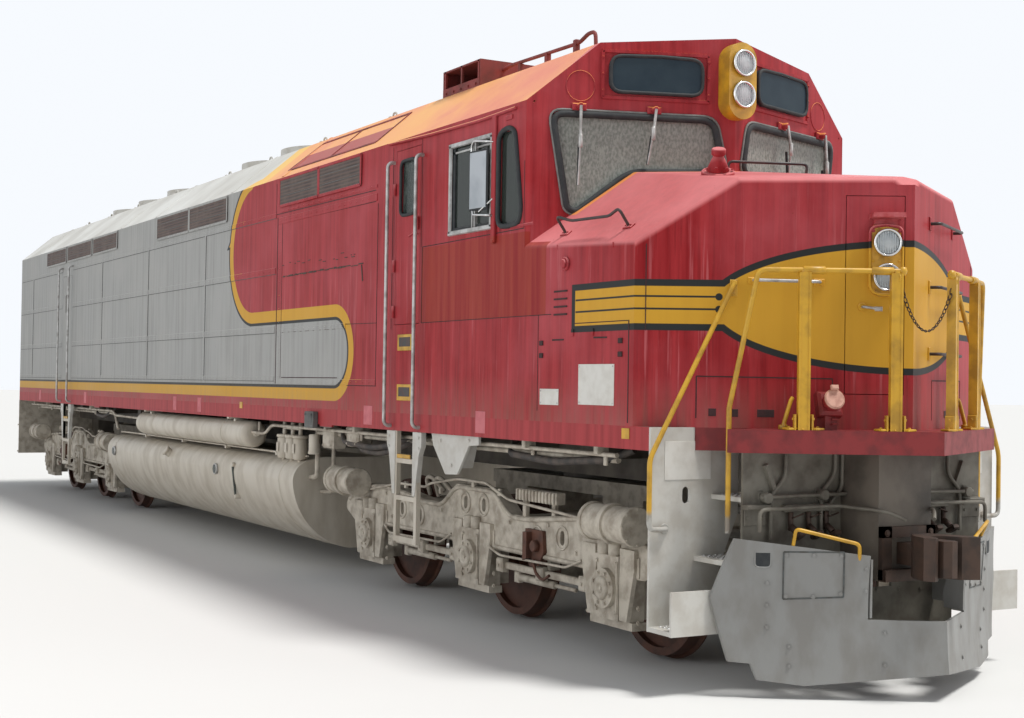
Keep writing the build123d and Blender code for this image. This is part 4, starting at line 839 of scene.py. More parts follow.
# Rear-view mirror on its chromed arm, ahead of the sliding window.
mirror_arm = Piece("mirror_arm")
mirror_case = Piece("mirror_case")
mirror_face = Piece("mirror_glass")
upper_arm = [(7.73, 3.80), (7.71, 3.80, 0.07), (7.50, 3.83, 0.07), (7.43, 3.80, 0.05), (7.43, 3.74, 0.05)]
lower_arm = [(7.73, 3.23), (7.72, 3.23, 0.07), (7.48, 3.255, 0.06), (7.46, 3.31, 0.05)]
for sign, face in body.items():
    mirror_arm.run(face, upper_arm, 0.009, 0.03)
    mirror_arm.run(face, lower_arm, 0.009, 0.03)
    mirror_arm.run(face, [(7.73, 3.36, 0.02), (7.58, 3.27, 0.06)], 0.007)
    toed_in = Vector((0.12, sign, 0)).normalized()
    middle = face(7.555, 3.52, 0.048)
    mirror_case.block(middle, toed_in, 0.25, 0.47, 0.018, 0.006)
    mirror_face.block(middle + toed_in * 0.011, toed_in, 0.22, 0.44, 0.004, 0.001)
mirror_arm.build(chrome, "handrail_silver")
mirror_case.build(rubber, "dark_metal")
mirror_face.build(plain("mirror_glass", tint(176, 180, 184), tint(150, 156, 160), 0.12, 0.6, scale=4,
                        depth=0.02), "window_glass")

# Step boxes beside the cab door, yellow with a dark plate as painted shade in each mouth; tags, patches and a
# junction box on the skirt.
boxes = Piece("side_step_boxes")
mouths = Piece("step_mouth_shade")
tags = Piece("skirt_tags")
patches = Piece("skirt_patches")
skirt_box = Piece("skirt_junction_box")
for face in body.values():
    for z in (2.28, 1.85):
        boxes.plate(face, (6.17, z, 0.004), 0.30, 0.14, 0.012, 0.004)
        # The dark plate in each mouth is painted shade.
        mouths.plate(face, (6.17, z + 0.005, 0.011), 0.22, 0.08, 0.004, 0.002)
    for x, z in ((1.95, 1.66), (9.58, 1.62)):
        tags.plate(face, (x, z, 0.002), 0.09, 0.07, 0.004, 0.001)
    for x, wide in ((-0.55, 0.13), (0.45, 0.14), (5.40, 0.19), (7.55, 0.16), (-5.2, 0.15), (-8.4, 0.14)):
        patches.plate(face, (x, 1.635, 0.001), wide, 0.17, 0.003, 0.001)
    skirt_box.plate(face, (4.10, 1.56, 0.03), 0.22, 0.16, 0.06, 0.008)
    skirt_box.plate(face, (4.10, 1.56, 0.062), 0.16, 0.10, 0.006, 0.002)
    skirt_box.bolts(face, [(4.02, 1.61, 0.06), (4.18, 1.61, 0.06)], 0.009)
boxes.build(yellow_paint, "yellow_paint")
mouths.build(black_rail, "dark_metal")
tags.build(yellow_paint, "yellow_paint")
patches.build(plain("faded_patch", tint(196, 106, 112), tint(176, 86, 94), 0.6, depth=0.1), "red_paint")
skirt_box.build(machinery, "dark_metal")

# Windshields: thick rubber round each pane, with a thin rim, and two wipers to a pane.
pane_edge = [(0.8, 3.961), (1.430, 3.961), (1.310, 3.255), (1.240, 3.228), (0.825, 3.545), (0.275, 3.560),
             (0.100, 3.590), (0.170, 3.961), (0.8, 3.961)]
rim_edge = [(0.8, 3.992), (1.462, 3.992), (1.335, 3.235), (1.236, 3.192), (0.815, 3.514), (0.27, 3.530),
            (0.055, 3.575), (0.148, 3.992), (0.8, 3.992)]
wiper_reaches = [((1.226, 4.015), (1.235, 3.425)), ((0.645, 4.015), (0.70, 3.60))]
rubber_ring = Piece("windshield_gaskets")
outer_ring = Piece("windshield_gasket_rims")
wipers = Piece("windshield_wipers")
blades = Piece("wiper_blades")
wiper_hubs = Piece("wiper_hubs")


def down_arm(face, pivot, reach, share, out):
    """A place over the glass, a share of the way from a wiper's pivot to its tip."""
    (a0, z0), (a1, z1) = pivot, reach
    return face(a0 + (a1 - a0) * share, z0 + (z1 - z0) * share, out)


for face in cab.values():
    rubber_ring.run(face.raised(0.004), pane_edge, 0.026, 0.10, 10)
    outer_ring.run(face.raised(0.006), rim_edge, 0.010, 0.11, 6)
    for pivot, reach in wiper_reaches:
        arm = (face, pivot, reach)
        wiper_hubs.stub(face, pivot, 0.075, 0.024, 14, 0.005)
        wiper_hubs.plate(face, (*pivot, 0.01), 0.11, 0.055, 0.03, 0.008)
        knee = down_arm(*arm, 0.45, 0.085)
        wipers.tube([down_arm(*arm, 0, 0.07), knee], 0.012)
        wipers.drum(knee - UP * 0.05, knee + UP * 0.05, 0.017, 12, 0.004)
        wipers.tube([knee, down_arm(*arm, 1, 0.045)], 0.008)
        blades.strip(down_arm(*arm, 0.48, 0.034), down_arm(*arm, 1, 0.030), face.normal, 0.018, 0.016, 0.3)
rubber_ring.build(rubber, "dark_metal")
outer_ring.build(plain("gasket_rim", tint(120, 122, 120), tint(92, 92, 90), 0.6, scale=16), "dark_metal")
wipers.build(rail_silver, "handrail_silver")
blades.build(rubber, "dark_metal")
wiper_hubs.build(shell, "red_paint")

# Number boards: a raised red frame with a dark rounded rim, and the round hatch beside each.
board_span, board_heights = (0.217, 1.045), (4.10, 4.45)
board_rim_edge = [(0.6, 4.42), (0.99, 4.41), (0.99, 4.14), (0.272, 4.14), (0.272, 4.41), (0.6, 4.42)]
boards = Piece("number_board_rims")
board_panels = Piece("number_board_panels")
for face in cab.values():
    boards.run(face.raised(0.032), board_rim_edge, 0.014, 0.09)
    board_panels.border(face, board_span, board_heights, 0.03, 0.012, 0.2, 0.005)
    for a in board_span:
        board_panels.bolts(face.raised(0.012), [(a, 4.15), (a, 4.275), (a, 4.40)], 0.008)
    board_panels.hoop([face(1.215 + 0.11 * math.cos(t), 4.175 + 0.115 * math.sin(t), 0.001)
                       for t in turn(24)], 0.004, 5)
boards.build(rubber, "dark_metal")
board_panels.build(shell, "red_paint")


# Lamps.

def lamp_pair(name, centres, normal, radius, carrier="root"):
    """Sealed-beam lamps: chromed ring, dished reflector, and a lens with moulded flutes."""
    rings, lenses, bowls = (Piece(f"{name}_lamp_{part}") for part in ("rings", "lenses", "reflectors"))
    ring_profile = [(1.0, 0.0), (1.14, 0.004), (1.18, 0.020), (1.12, 0.034), (1.0, 0.032), (0.94, 0.014)]
    bowl_profile = [(0.12, -0.016), (0.5, -0.012), (0.8, -0.004), (0.97, 0.004)]
    dome_profile = [(0.98, 0.010), (0.85, 0.018), (0.6, 0.026), (0.3, 0.030), (0.05, 0.031)]
    a, b = across(normal)
    for centre in centres:
        for piece, profile in ((rings, ring_profile), (bowls, bowl_profile), (lenses, dome_profile)):
            piece.turned(centre, normal, [(radius * share, high) for share, high in profile], 32,
                         caps=piece is not rings)
        for i in range(-4, 5):
            half = math.sqrt(0.86 - (i * 0.2) ** 2) * radius
            middle = centre + a * (i * 0.2 * radius) + normal * 0.026
            lenses.strip(middle - b * half, middle + b * half, normal, 0.006, 0.004, 0.4)
    rings.build(chrome, "handrail_silver", carrier)
    lenses.build(lamp_glass, "window_glass", carrier)
    bowls.build(chrome, "handrail_silver", carrier)


lamp_pair("cab", [Vector((8.81, 0, rail + z)) for z in (4.395, 4.155)], Vector((1, 0, 0)), 0.088)
right_facet = nose[-1]
nose_centres = [right_facet(0.19, z, 0.072) for z in (2.885, 2.66)]
lamp_pair("nose", nose_centres, right_facet.normal, 0.078, "nose_door")
bezel = Piece("nose_lamp_bezel")
bezel_edge = [(0.19, 3.002), (0.086, 2.99), (0.086, 2.552), (0.294, 2.552), (0.294, 2.99), (0.19, 3.002)]
bezel.run(right_facet.raised(0.045), bezel_edge, 0.010, 0.08)
bezel.bolts(right_facet.raised(0.045), [(a, z) for z in (2.58, 2.77, 2.965) for a in (0.105, 0.275)], 0.008)
bezel.build(shell, "red_paint", "nose_door")


# Nose: grab irons, door lever, marker lights, notices and the fittings on top.

def on_top(x, y, lift=0.0):
    """A point on the nose's sloping top."""
    fall_x, fall_y = 0.1381, 0.099
    normal = Vector((0.138, math.copysign(fall_y, y), 1)).normalized()
    return Vector((x, y, rail + 4.790 - fall_x * x - fall_y * abs(y))) + normal * lift


grabs = Piece("nose_grab_irons")
grab_feet = Piece("nose_grab_feet")
silver_grab = Piece("facet_grab_iron")
nose_trim = Piece("nose_fittings")
grab_r = 0.011


def facet_grab(piece, face, start, end, off, foot_size):
    """A bar with two bends and a foot plate at each end."""
    piece.run(face, [start, (*start, off), (*end, off), end], grab_r, 0.03)
    for foot in (start, end):
        grab_feet.plate(face, (*foot, 0.004), *foot_size, 0.01, 0.003)


for sign, face in body.items():
    chamfer_out = Vector((0.043, sign * 0.612, 0.79)).normalized()
    feet = [beside(sign)(8.606, 1.426, 3.026), beside(sign)(9.358, 1.385, 3.017)]
    middle = (feet[0] + feet[1]) / 2 + chamfer_out * 0.10
    spread = (feet[0] - feet[1]) * 0.3
    grabs.tube([feet[0], feet[0] + chamfer_out * 0.15, middle + spread, middle - spread,
                feet[1] + chamfer_out * 0.15, feet[1]], grab_r, 0.04)
    for foot in feet:
        grab_feet.block(foot + chamfer_out * 0.005, chamfer_out, 0.09, 0.05, 0.012, 0.003)
        for shift in (-0.028, 0.028):
            grab_feet.bolt(foot + chamfer_out * 0.01 + Vector((shift, 0, 0)), chamfer_out, 0.007)
    for x, z, tall in ((8.673, 2.9175, 0.035), (9.398, 2.88, 0.04)):
        grab_feet.plate(face, (x, z, 0.001), 0.008, tall, 0.004)
    nose_trim.stub(face, (8.80, 2.79), 0.02, 0.05, 20, 0.006)
    nose_trim.stub(face, (8.80, 2.79, 0.02), 0.015, 0.034, 16, 0.006)
    for x in (9.16, 8.90):
        nose_trim.plate(face, (x, 2.30, 0.004), 0.03, 0.05, 0.01, 0.003)
for level in (3.06, 2.63, 2.18):
    facet_grab(grabs, nose[1], (0.42, level), (1.10, level), 0.075, (0.05, 0.09))
grabs.run(on_top, [(9.16, -0.40), (9.16, -0.40, 0.085), (9.40, 0.12, 0.085), (9.40, 0.12)], grab_r, 0.04)
for spot in ((9.16, -0.40), (9.40, 0.12)):
    grab_feet.block(on_top(*spot, 0.004), (0.138, 0, 1), 0.08, 0.05, 0.012, 0.003)
silver_feet = [(1.04, 2.635), (0.614, 2.628)]
facet_grab(silver_grab, right_facet, *silver_feet, 0.07, (0.07, 0.045))
for foot in silver_feet:
    grab_feet.stub(right_facet, (*foot, 0.008), 0.022, 0.017, 12, 0.003)
lever_hub = (0.334, 2.471)
nose_trim.stub(right_facet, lever_hub, 0.012, 0.028, 16, 0.003)
grabs.build(black_rail, "dark_metal")
silver_grab.build(rail_silver, "handrail_silver")
grab_feet.build(shell, "red_paint")
nose_trim.build(shell, "red_paint")

door_lever = Piece("nose_door_lever")
door_lever.run(right_facet, [(*lever_hub, 0.012), (*lever_hub, 0.042), (0.240, 2.459, 0.042)], 0.009, 0.015)
door_lever.plate(right_facet, (0.235, 2.458, 0.042), 0.05, 0.03, 0.014, 0.005)
door_lever.build(rail_silver, "handrail_silver", "nose_door")

# The red cone with its flange on the nose top, a capped filler.
cone = Piece("nose_top_fitting")
base = on_top(9.50, -0.75)
tip = on_top(9.50, -0.75, 0.13) + Vector((0.03, -0.02, 0))
axis = tip - base
cone.drum(base, base + axis * 0.22, 0.115, 28, 0.006)
cone.drum(base + axis * 0.2, tip, 0.08, 28, 0.008, 0.038)
cone.drum(tip, tip + axis * 0.35, 0.05, 20, 0.008)
for place in circle(base + axis * 0.22, Vector((1, 0, 0)), Vector((0, 1, 0)), 0.098, 8):
    cone.bolt(place, (0.13, -0.1, 1), 0.009)
cone.build(shell, "red_paint")

# Blank notice plates with a rivet near each corner.
notices = Piece("blank_notices")
notice_rims = Piece("notice_rims")
rivet_inset = 0.015
for face in body.values():
    for x0, x1, z0, z1 in ((8.985, 9.435, 1.80, 2.08), (8.46, 8.72, 1.79, 1.905)):
        notices.plate(face, ((x0 + x1) / 2, (z0 + z1) / 2, 0.002), x1 - x0, z1 - z0, 0.004, 0.001)
        for x in (x0 + rivet_inset, x1 - rivet_inset):
            for z in (z0 + rivet_inset, z1 - rivet_inset):
                notice_rims.rivet(face(x, z, 0.004), face.normal, 0.006)
notices.build(notice_white, "front_grey")
notice_rims.build(rail_silver, "handrail_silver")

# Seams, slots and hatches of the nose facets.
facet_seams = Piece("nose_seams")
for face in nose.values():
    for a0, z0, a1, z1, wide in ((1.403, 2.005, 0.52, 2.000, 0.008), (1.403, 2.005, 1.403, 1.73, 0.008),
                                 (0.52, 2.0, 0.52, 1.73, 0.006), (1.74, 2.30, 1.74, 2.87, 0.006)):
        facet_seams.bar(face, (a0, z0), (a1, z1), wide, 0.002)
    for a, z, wide in ((1.297, 1.77, 0.05), (0.95, 1.768, 0.11), (1.149, 1.768, 0.04)):
        facet_seams.plate(face, (a, z), wide, 0.05, 0.006, 0.002)
facet_seams.build(seam_dark, "red_paint")


# Front platform: rail sleeves, channels round the posts, post feet and the rear step rails.

post_spots = ((10.43, 0.755), (10.72, 0.248))
post_foot, rail_level = 1.67, 2.69
channel_section = [(-0.0375, -0.03), (-0.0375, 0.03), (-0.024, 0.03), (-0.024, 0.027), (0.024, 0.027),
                   (0.024, 0.03), (0.0375, 0.03), (0.0375, -0.03), (0.024, -0.03), (0.024, -0.027),
                   (-0.024, -0.027), (-0.024, -0.03)]
sleeves = Piece("front_rail_sleeves")
feet_piece = Piece("post_feet")
channels = Piece("rail_posts")
back_rails = Piece("rear_step_rails")
for sign in sides:
    at = beside(sign)
    a, b = (at(x, y, rail_level) for x, y in post_spots)
    along = (b - a).normalized()
    square = Vector((-along.y, along.x, 0))
    sleeves.drum(a - along * 0.01, a + along * 0.13, 0.026, 14, 0.004)
    sleeves.drum(b - along * 0.16, b - along * 0.02, 0.026, 14, 0.004)
    end_ball = [(0.001, 0.03), (0.02, 0.024), (0.028, 0.0), (0.02, -0.024), (0.001, -0.03)]
    sleeves.turned(b + along * 0.04, UP, end_ball, 14)
    for x, y in post_spots:
        low = at(x, y, post_foot)
        feet_piece.block(low + UP * 0.006, UP, 0.05, 0.05, 0.012, 0.003)
        for ahead in (-along, along):
            lug = low + ahead * 0.055
            feet_piece.block(lug + UP * 0.05, along, 0.06, 0.10, 0.012, 0.003)
            feet_piece.block(lug + ahead * 0.03 + UP * 0.008, UP, 0.07, 0.07, 0.014, 0.003)
            feet_piece.bolt(lug + ahead * 0.035 + UP * 0.014, UP, 0.010)
            feet_piece.bolt(lug + UP * 0.07 + ahead * 0.006, ahead, 0.009)
        channels.rings([[at(x, y, z) + along * i + square * j for i, j in channel_section]
                        for z in (post_foot, 2.675)], smooth=False)
    face, clip = nose[sign], (1.167, 2.615)
    path = [at(9.872, 1.43, 1.015), at(9.905, 1.43, 1.015), at(9.905, 1.57, 1.015), at(9.905, 1.57, 1.47),
            face(*clip, 0.04)]
    back_rails.tube(path, 0.017, 0.05, 12)
    back_rails.stub(face, clip, 0.055, 0.018, 14, 0.003)
    back_rails.plate(face, (1.167, 2.585, 0.004), 0.05, 0.11, 0.010, 0.003)
    back_rails.bolts(face, [(1.167, 2.55, 0.008)], 0.011)
    back_rails.drum(at(9.870, 1.43, 1.015), at(9.882, 1.43, 1.015), 0.035, 18, 0.003)
sleeves.build(yellow_paint, "yellow_paint")
channels.build(yellow_paint, "yellow_paint")
back_rails.build(step_rail_paint, "yellow_paint")
feet_piece.build(yellow_paint, "yellow_paint")


def chain(piece, start, end, sag, links):
    """Oval links along a hanging line, each turned a quarter from its neighbour."""
    shares = [i / links for i in range(links + 1)]
    path = [start.lerp(end, share) - UP * sag * 4 * share * (1 - share) for share in shares]
    for i, (here, after) in enumerate(zip(path, path[1:])):
        ahead = (after - here).normalized()
        length = (after - here).length
        wide, thin = across(ahead) if i % 2 else reversed(across(ahead))
        rings = []
        for t in turn(12):
            spot = (here + after) / 2 + (ahead * math.cos(t) * 0.62 + wide * math.sin(t) * 0.36) * length
            outward = (ahead * math.cos(t) * 0.36 + wide * math.sin(t) * 0.62).normalized()
            rings.append(circle(spot, outward, thin, 0.0035, 6))
        piece.rings(rings + rings[:1], caps=False)


chain_x = 10.735
chains = Piece("platform_chain")
chain(chains, Vector((chain_x, -0.245, rail + 2.645)), Vector((chain_x, 0.245, rail + 2.645)), 0.33, 30)
chains.build(dark_iron, "coupler_iron")
hooks = Piece("chain_hooks")
hook_path = [(chain_x, 0.248, 2.665), (chain_x + 0.02, 0.248, 2.66), (chain_x + 0.02, 0.248, 2.63),
             (chain_x, 0.248, 2.625)]
for sign in sides:
    hooks.run(beside(sign), hook_path, 0.005, 0.01)
hooks.build(yellow_paint, "yellow_paint")

# The uncoupling lever's yellow handle and the red multiple-unit receptacle beside the posts.
levers = Piece("platform_levers")
receptacle = Piece("unit_receptacle")
cap = Piece("receptacle_cap")
for sign in sides:
    at = beside(sign)
    handle = [(10.30, 0.811, 1.64), (10.30, 0.808, 1.70), (10.30, 0.75, 1.855), (10.30, 0.735, 1.875)]
    levers.run(at, handle, 0.014, 0.03)
    levers.drum(at(10.30, 0.811, 1.67), at(10.30, 0.811, 1.70), 0.03, 14, 0.004)
head, front_way = Vector((10.43, -0.55, rail + 1.83)), Vector((0.86, -0.3, 0.35)).normalized()
receptacle.box((10.38, -0.60, rail + 1.67), (10.46, -0.50, rail + 1.80))
receptacle.block(head, front_way, 0.16, 0.16, 0.10, 0.02)
receptacle.drum(head + front_way * 0.05, head + front_way * 0.10, 0.062, 24, 0.006)
cap.drum(head + front_way * 0.10, head + front_way * 0.125, 0.068, 24, 0.010)
cap.block(head + front_way * 0.11 + UP * 0.075, front_way, 0.05, 0.03, 0.03, 0.006)
for level in (1.71, 1.74, 1.77):
    receptacle.block((10.475, -0.53, rail + level), (1, 0, 0), 0.05, 0.012, 0.01, 0.003)
levers.build(yellow_paint, "yellow_paint")
receptacle.build(platform_red, "red_paint")
cap.build(plain("receptacle_cap_paint", tint(196, 150, 132), tint(150, 96, 84), 0.6, scale=18, grain=70),
          "red_paint")

# Raised buttons in rows on the corner steps' treads: outer and inner y, top and front end of each.
tread_sizes = ((1.54, 1.03, 0.39, 10.09), (1.19, 0.96, 0.83, 10.17), (1.05, 0.86, 1.23, 10.17))
button_step, tread_back = 0.045, 9.90
buttons = Piece("tread_buttons")
for sign in sides:
    for outer, inner, top, end in tread_sizes:
        for i in range(int((end - tread_back) / button_step)):
            for j in range(int((outer - inner - 0.04) / button_step)):
                x, y = tread_back + 0.005 + button_step * i, inner + 0.035 + button_step * j
                buttons.rivet(beside(sign)(x, y, top), UP, 0.013)
buttons.build(rail_silver, "front_grey")

# The dark carrier round the coupler's shank.
carrier = Piece("coupler_carrier")
carrier_x = 10.561
for middle in (-0.19, 0.19):
    carrier.box((carrier_x, middle - 0.04, rail + 0.71), (10.60, middle + 0.04, rail + 1.05))
    for z in (0.74, 1.01):
        carrier.bolt((10.60, middle, rail + z), (1, 0, 0), 0.016)
carrier.box((carrier_x, -0.23, rail + 0.70), (10.63, 0.23, rail + 0.775))
carrier.box((carrier_x, -0.23, rail + 0.98), (10.60, 0.23, rail + 1.05))
carrier.build(dark_iron, "coupler_iron")

# Blank sign on each corner back plate.
signs = Piece("corner_signs")
for sign in sides:
    signs.block(beside(sign)(9.872, 1.245, 1.455), (1, 0, 0), 0.37, 0.25, 0.004, 0.001)
signs.build(notice_white, "front_grey")


# End plate: hose fittings, pipe cocks, braces, the uncoupling rod and the lower plate.

def end_face(x, sign):
    """One half of an upright face across the machine, given by y and height."""
    return Face(lambda y, z: Vector((x, sign * y, rail + z)), (math.copysign(1, x), 0, 0))


hardware = Piece("end_plate_hardware")
cocks = Piece("brake_pipe_cocks")
rod = Piece("uncoupling_rod")
for sign in sides:
    face = end_face(end_plate_x, sign)
    hardware.run(face, [(0.94, 1.232, 0.05), (0.03, 1.245, 0.05)], 0.013)
    for y, z in ((0.89, 1.228), (0.42, 1.238), (0.03, 1.244)):
        hardware.stub(face, (y, z), 0.07, 0.036, 18, 0.005)
        hardware.plate(face, (y, z - 0.03, 0.004), 0.08, 0.14, 0.008, 0.002)
        hardware.bolts(face, [(y, z + 0.035, 0.008), (y, z - 0.085, 0.008)], 0.009)
    hardware.bar(face, (0.88, 1.44), (0.805, 1.27), 0.035, 0.03, 0.1)
    hardware.plate(face, (0.96, 1.17, 0.03), 0.19, 0.03, 0.06, 0.006)
    hardware.plate(face, (0.96, 1.12, 0.008), 0.17, 0.14, 0.012, 0.003)
    hardware.bolts(face, [(0.90, 1.10, 0.012), (1.02, 1.10, 0.012)], 0.010)
    hardware.plate(face, (0.52, 1.155, 0.02), 0.42, 0.05, 0.04, 0.006)
    for y in (0.68, 0.53, 0.38):
        cocks.drum(face(y, 1.13, 0.03), face(y, 1.01, 0.03), 0.018, 12, 0.003)
        cocks.drum(face(y, 1.04, 0.03), face(y, 1.00, 0.10), 0.022, 12, 0.004)
        cocks.block(face(y, 0.985, 0.115), (0.5, 0, -0.86), 0.05, 0.085, 0.035, 0.008)
        cocks.run(face, [(y, 1.09, 0.03), (y, 1.10, 0.07), (y - 0.07, 1.12, 0.07)], 0.006, 0.01, 6)
    for y, high in ((0.30, 1.47), (0.24, 1.38), (0.72, 1.46)):
        pipe = [(y, 1.50), (y, high - 0.10), (y + 0.12, high - 0.22), (y + 0.12, 0.96)]
        hardware.run(face.raised(0.025), pipe, 0.014, 0.05)
    rod.run(beside(sign), [(10.31, 1.00, 1.02), (10.31, 1.00, 1.16), (10.31, 0.35, 1.17), (10.62, 0.20, 1.15),
                           (10.70, 0.12, 1.10)], 0.013, 0.05)
lower_plate = Piece("lower_pilot_plate")
plate_edge = [(-0.80, 0.60), (-0.80, 0.34), (-0.70, 0.28), (0.70, 0.28), (0.80, 0.34), (0.80, 0.60)]
lower_plate.slab([Vector((10.185, y, rail + z)) for y, z in plate_edge], (1, 0, 0), 0.014)
lower_plate.bolts(end_face(10.199, 1), [(-0.70 + 0.20 * i, 0.575) for i in range(8)], 0.014)
hardware.build(end_paint, "front_grey")
lower_plate.build(end_paint, "front_grey")
cocks.build(dark_iron, "coupler_iron")
rod.build(end_paint, "front_grey")


# Snowplow: the grab bar, the drop panel's outline, bolts, return plates and lifting holes, each hole a dark
# plate of painted shade.

def plow_face(sign):
    """The plow's face, which bulges backward at its middle height."""
    def spot(along, z):
        bulge = 0.30 - 0.03 * (1 - ((z - 0.52) / 0.4625) ** 2)
        return nose[sign](along - 0.178, z, bulge)
    return Face(spot, nose[sign].normal)


plow_bolt_spots = [(0.68, 0.88), (0.68, 0.64), (1.02, 0.88), (1.02, 0.62), (0.85, 0.88), (0.85, 0.62),
                   (0.52, 0.80), (0.52, 0.66), (1.14, 0.70), (1.14, 0.56), (1.14, 0.42), (0.40, 0.40),
                   (0.40, 0.20), (1.0, 0.30), (1.0, 0.18)]
panel_edges = ((0.66, 0.905, 1.04, 0.90), (0.66, 0.62, 1.04, 0.60), (0.66, 0.905, 0.66, 0.62),
               (1.04, 0.90, 1.04, 0.60))
returns = Piece("plow_returns")
hole_rim = Piece("plow_hole_rims")
hole_dark = Piece("plow_hole_shade")
plow_trim = Piece("plow_trim")
plow_bolts = Piece("plow_bolts")
plow_grab = Piece("plow_grab_bar")
for sign in sides:
    face = plow_face(sign)
    for a0, z0, a1, z1 in panel_edges:
        plow_trim.bar(face, (a0, z0), (a1, z1), 0.010, 0.003)
    plow_bolts.bolts(face.raised(0.002), plow_bolt_spots, 0.011, 0.008)
    grab_path = [(0.98, 0.93, -0.02), (0.97, 1.05, 0.02), (0.57, 0.96, 0.02), (0.56, 0.83, -0.02)]
    plow_grab.run(face, grab_path, 0.012, 0.03)
    front_edge = [face(0.49, z, -0.004) for z in (0.49, 0.60, 0.72, 0.86)]
    back_edge = [p - Vector((depth, 0, 0)) for p, depth in zip(front_edge, (0.17, 0.18, 0.14, 0.05))]
    returns.slab(front_edge + back_edge[::-1], (0, 1, 0), 0.016)
    hole = (1.17, 0.86, 0.001)
    a, b = across(face.normal)
    corners = [(0, 0.06), (0.05, 0.06), (0.05, -0.06), (-0.05, -0.06), (-0.05, 0.06), (0, 0.06)]
    hole_rim.tube([face(*hole) + a * i + b * j for i, j in corners], 0.005, 0.03, 6)
    # A dark plate in the hole: painted shade.
    hole_dark.plate(face, hole, 0.094, 0.114, 0.004, 0.001)
returns.build(plow_paint, "front_grey")
hole_rim.build(plow_paint, "front_grey")
hole_dark.build(rubber, "dark_metal")
plow_trim.build(seam_grey, "front_grey")
plow_bolts.build(plow_paint, "front_grey")
plow_grab.build(yellow_paint, "yellow_paint")


# Trucks: bolts, pipes, the ribbed box, brackets and cables, riding on their own bodies.

def truck_side(truck, sign):
    """The outer face of a truck's frame; the rear truck is the front one turned end for end."""
    way = 1 if truck == "front" else -1
    middle = truck_places[truck]
    return Face(lambda ahead, z: Vector((middle + way * ahead, way * sign * truck_face_y, rail + z)),
                (0, way * sign, 0))


axle_places = (-axle_step, 0, axle_step)
box_cap_profile = [(0.085, 0.0), (0.082, 0.016), (0.060, 0.022), (0.040, 0.020), (0.036, 0.006),
                   (0.002, 0.006)]
liner_edge = [(0.82, 0.30), (1.30, 0.30), (1.55, 0.50), (1.75, 0.66), (1.75, 0.80), (0.82, 0.80)]
frame_bolts = [(-1.75, 0.90), (-1.20, 0.87), (-0.60, 0.84), (-0.42, 1.0), (0.42, 1.0), (0.60, 0.84),
               (1.20, 0.87), (1.60, 0.70), (-1.62, 0.70)]
frame_top_edge = [(-2.60, 0.79), (-2.30, 0.935), (-1.70, 0.962), (-0.90, 0.882), (-0.60, 0.882),
                  (-0.33, 1.062), (0.33, 1.062), (0.60, 0.882), (0.90, 0.882), (1.70, 0.962),
                  (2.30, 0.935), (2.60, 0.79)]
frame_holes = [(-1.40, 0.79), (-1.03, 0.76), (-0.16, 0.94), (0.16, 0.94), (1.03, 0.76), (1.40, 0.79)]
# Pipes of the frame: the radius, the bends' radius and the path.
frame_pipes = [
    (0.012, 0.06, [(-0.90, 1.02, 0.02), (-0.76, 1.062, 0.03), (-0.25, 1.13, 0.03), (0.25, 1.13, 0.03),
                   (0.62, 1.02, 0.03), (1.70, 0.965, 0.03)]),
    (0.012, 0.06, [(-2.20, 0.90, 0.025), (-1.40, 1.02, 0.03), (-0.90, 1.02, 0.02)]),
    (0.010, 0.05, [(0.30, 0.62, 0.03), (0.55, 0.575, 0.06), (1.55, 0.59, 0.06), (1.72, 0.66, 0.03)]),
    (0.010, 0.05, [(-1.72, 0.62, 0.03), (-1.55, 0.56, 0.06), (-0.50, 0.575, 0.06), (-0.36, 0.66, 0.03)])]
pipe_clips = [(-1.30, 1.01), (-0.60, 1.01), (0.0, 1.105), (0.45, 1.065)]
bracket_edge = [(0.90, 0.82), (1.16, 0.82), (1.18, 0.66), (1.10, 0.55), (0.98, 0.53), (0.90, 0.62)]
bracket_lug = [(0.94, 0.80), (1.00, 0.80), (1.00, 0.60), (0.94, 0.58)]


def axle_box(iron, bolts, face, ahead):
    """Cap, bolts, spring cups, liners and ribs of one axle's box."""
    turns = [t + 0.4 for t in turn(8)]
    bolts.bolts(face.raised(0.08), [(ahead + 0.112 * math.cos(t), wheel_r + 0.112 * math.sin(t))
                                    for t in turns], 0.012, 0.014)
    corners = [(ahead + i, z) for i in (-0.12, 0.12) for z in (0.35, 0.69)]
    bolts.bolts(face.raised(0.04), corners, 0.014, 0.014)
    middle = face(ahead, wheel_r, 0.08)
    iron.turned(middle, face.normal, box_cap_profile, 28)
    bolts.bolt(middle + face.normal * 0.006, face.normal, 0.016, 0.012)
    for x in (ahead - 0.07, ahead + 0.07):
        iron.drum(face(x, 0.74, 0.015), face(x, 0.84, 0.015), 0.05, 18, 0.008)
    for shift in (-0.192, 0.192):
        iron.slab([face(ahead + shift * a, z) for a, z in liner_edge], face.normal, 0.035)
    for x in (ahead - 0.135, ahead + 0.135):
        iron.plate(face, (x, 0.52, 0.045), 0.018, 0.36, 0.012, 0.003)
    for way in (-1, 1):
        leg_bolts = [(ahead + way * 0.3234, level, -0.015) for level in (0.30, 0.40)]
        bolts.bolts(face, leg_bolts, 0.012, 0.012)
        iron.plate(face, (ahead + way * 0.33, 0.68, 0.006), 0.06, 0.14, 0.012, 0.004)


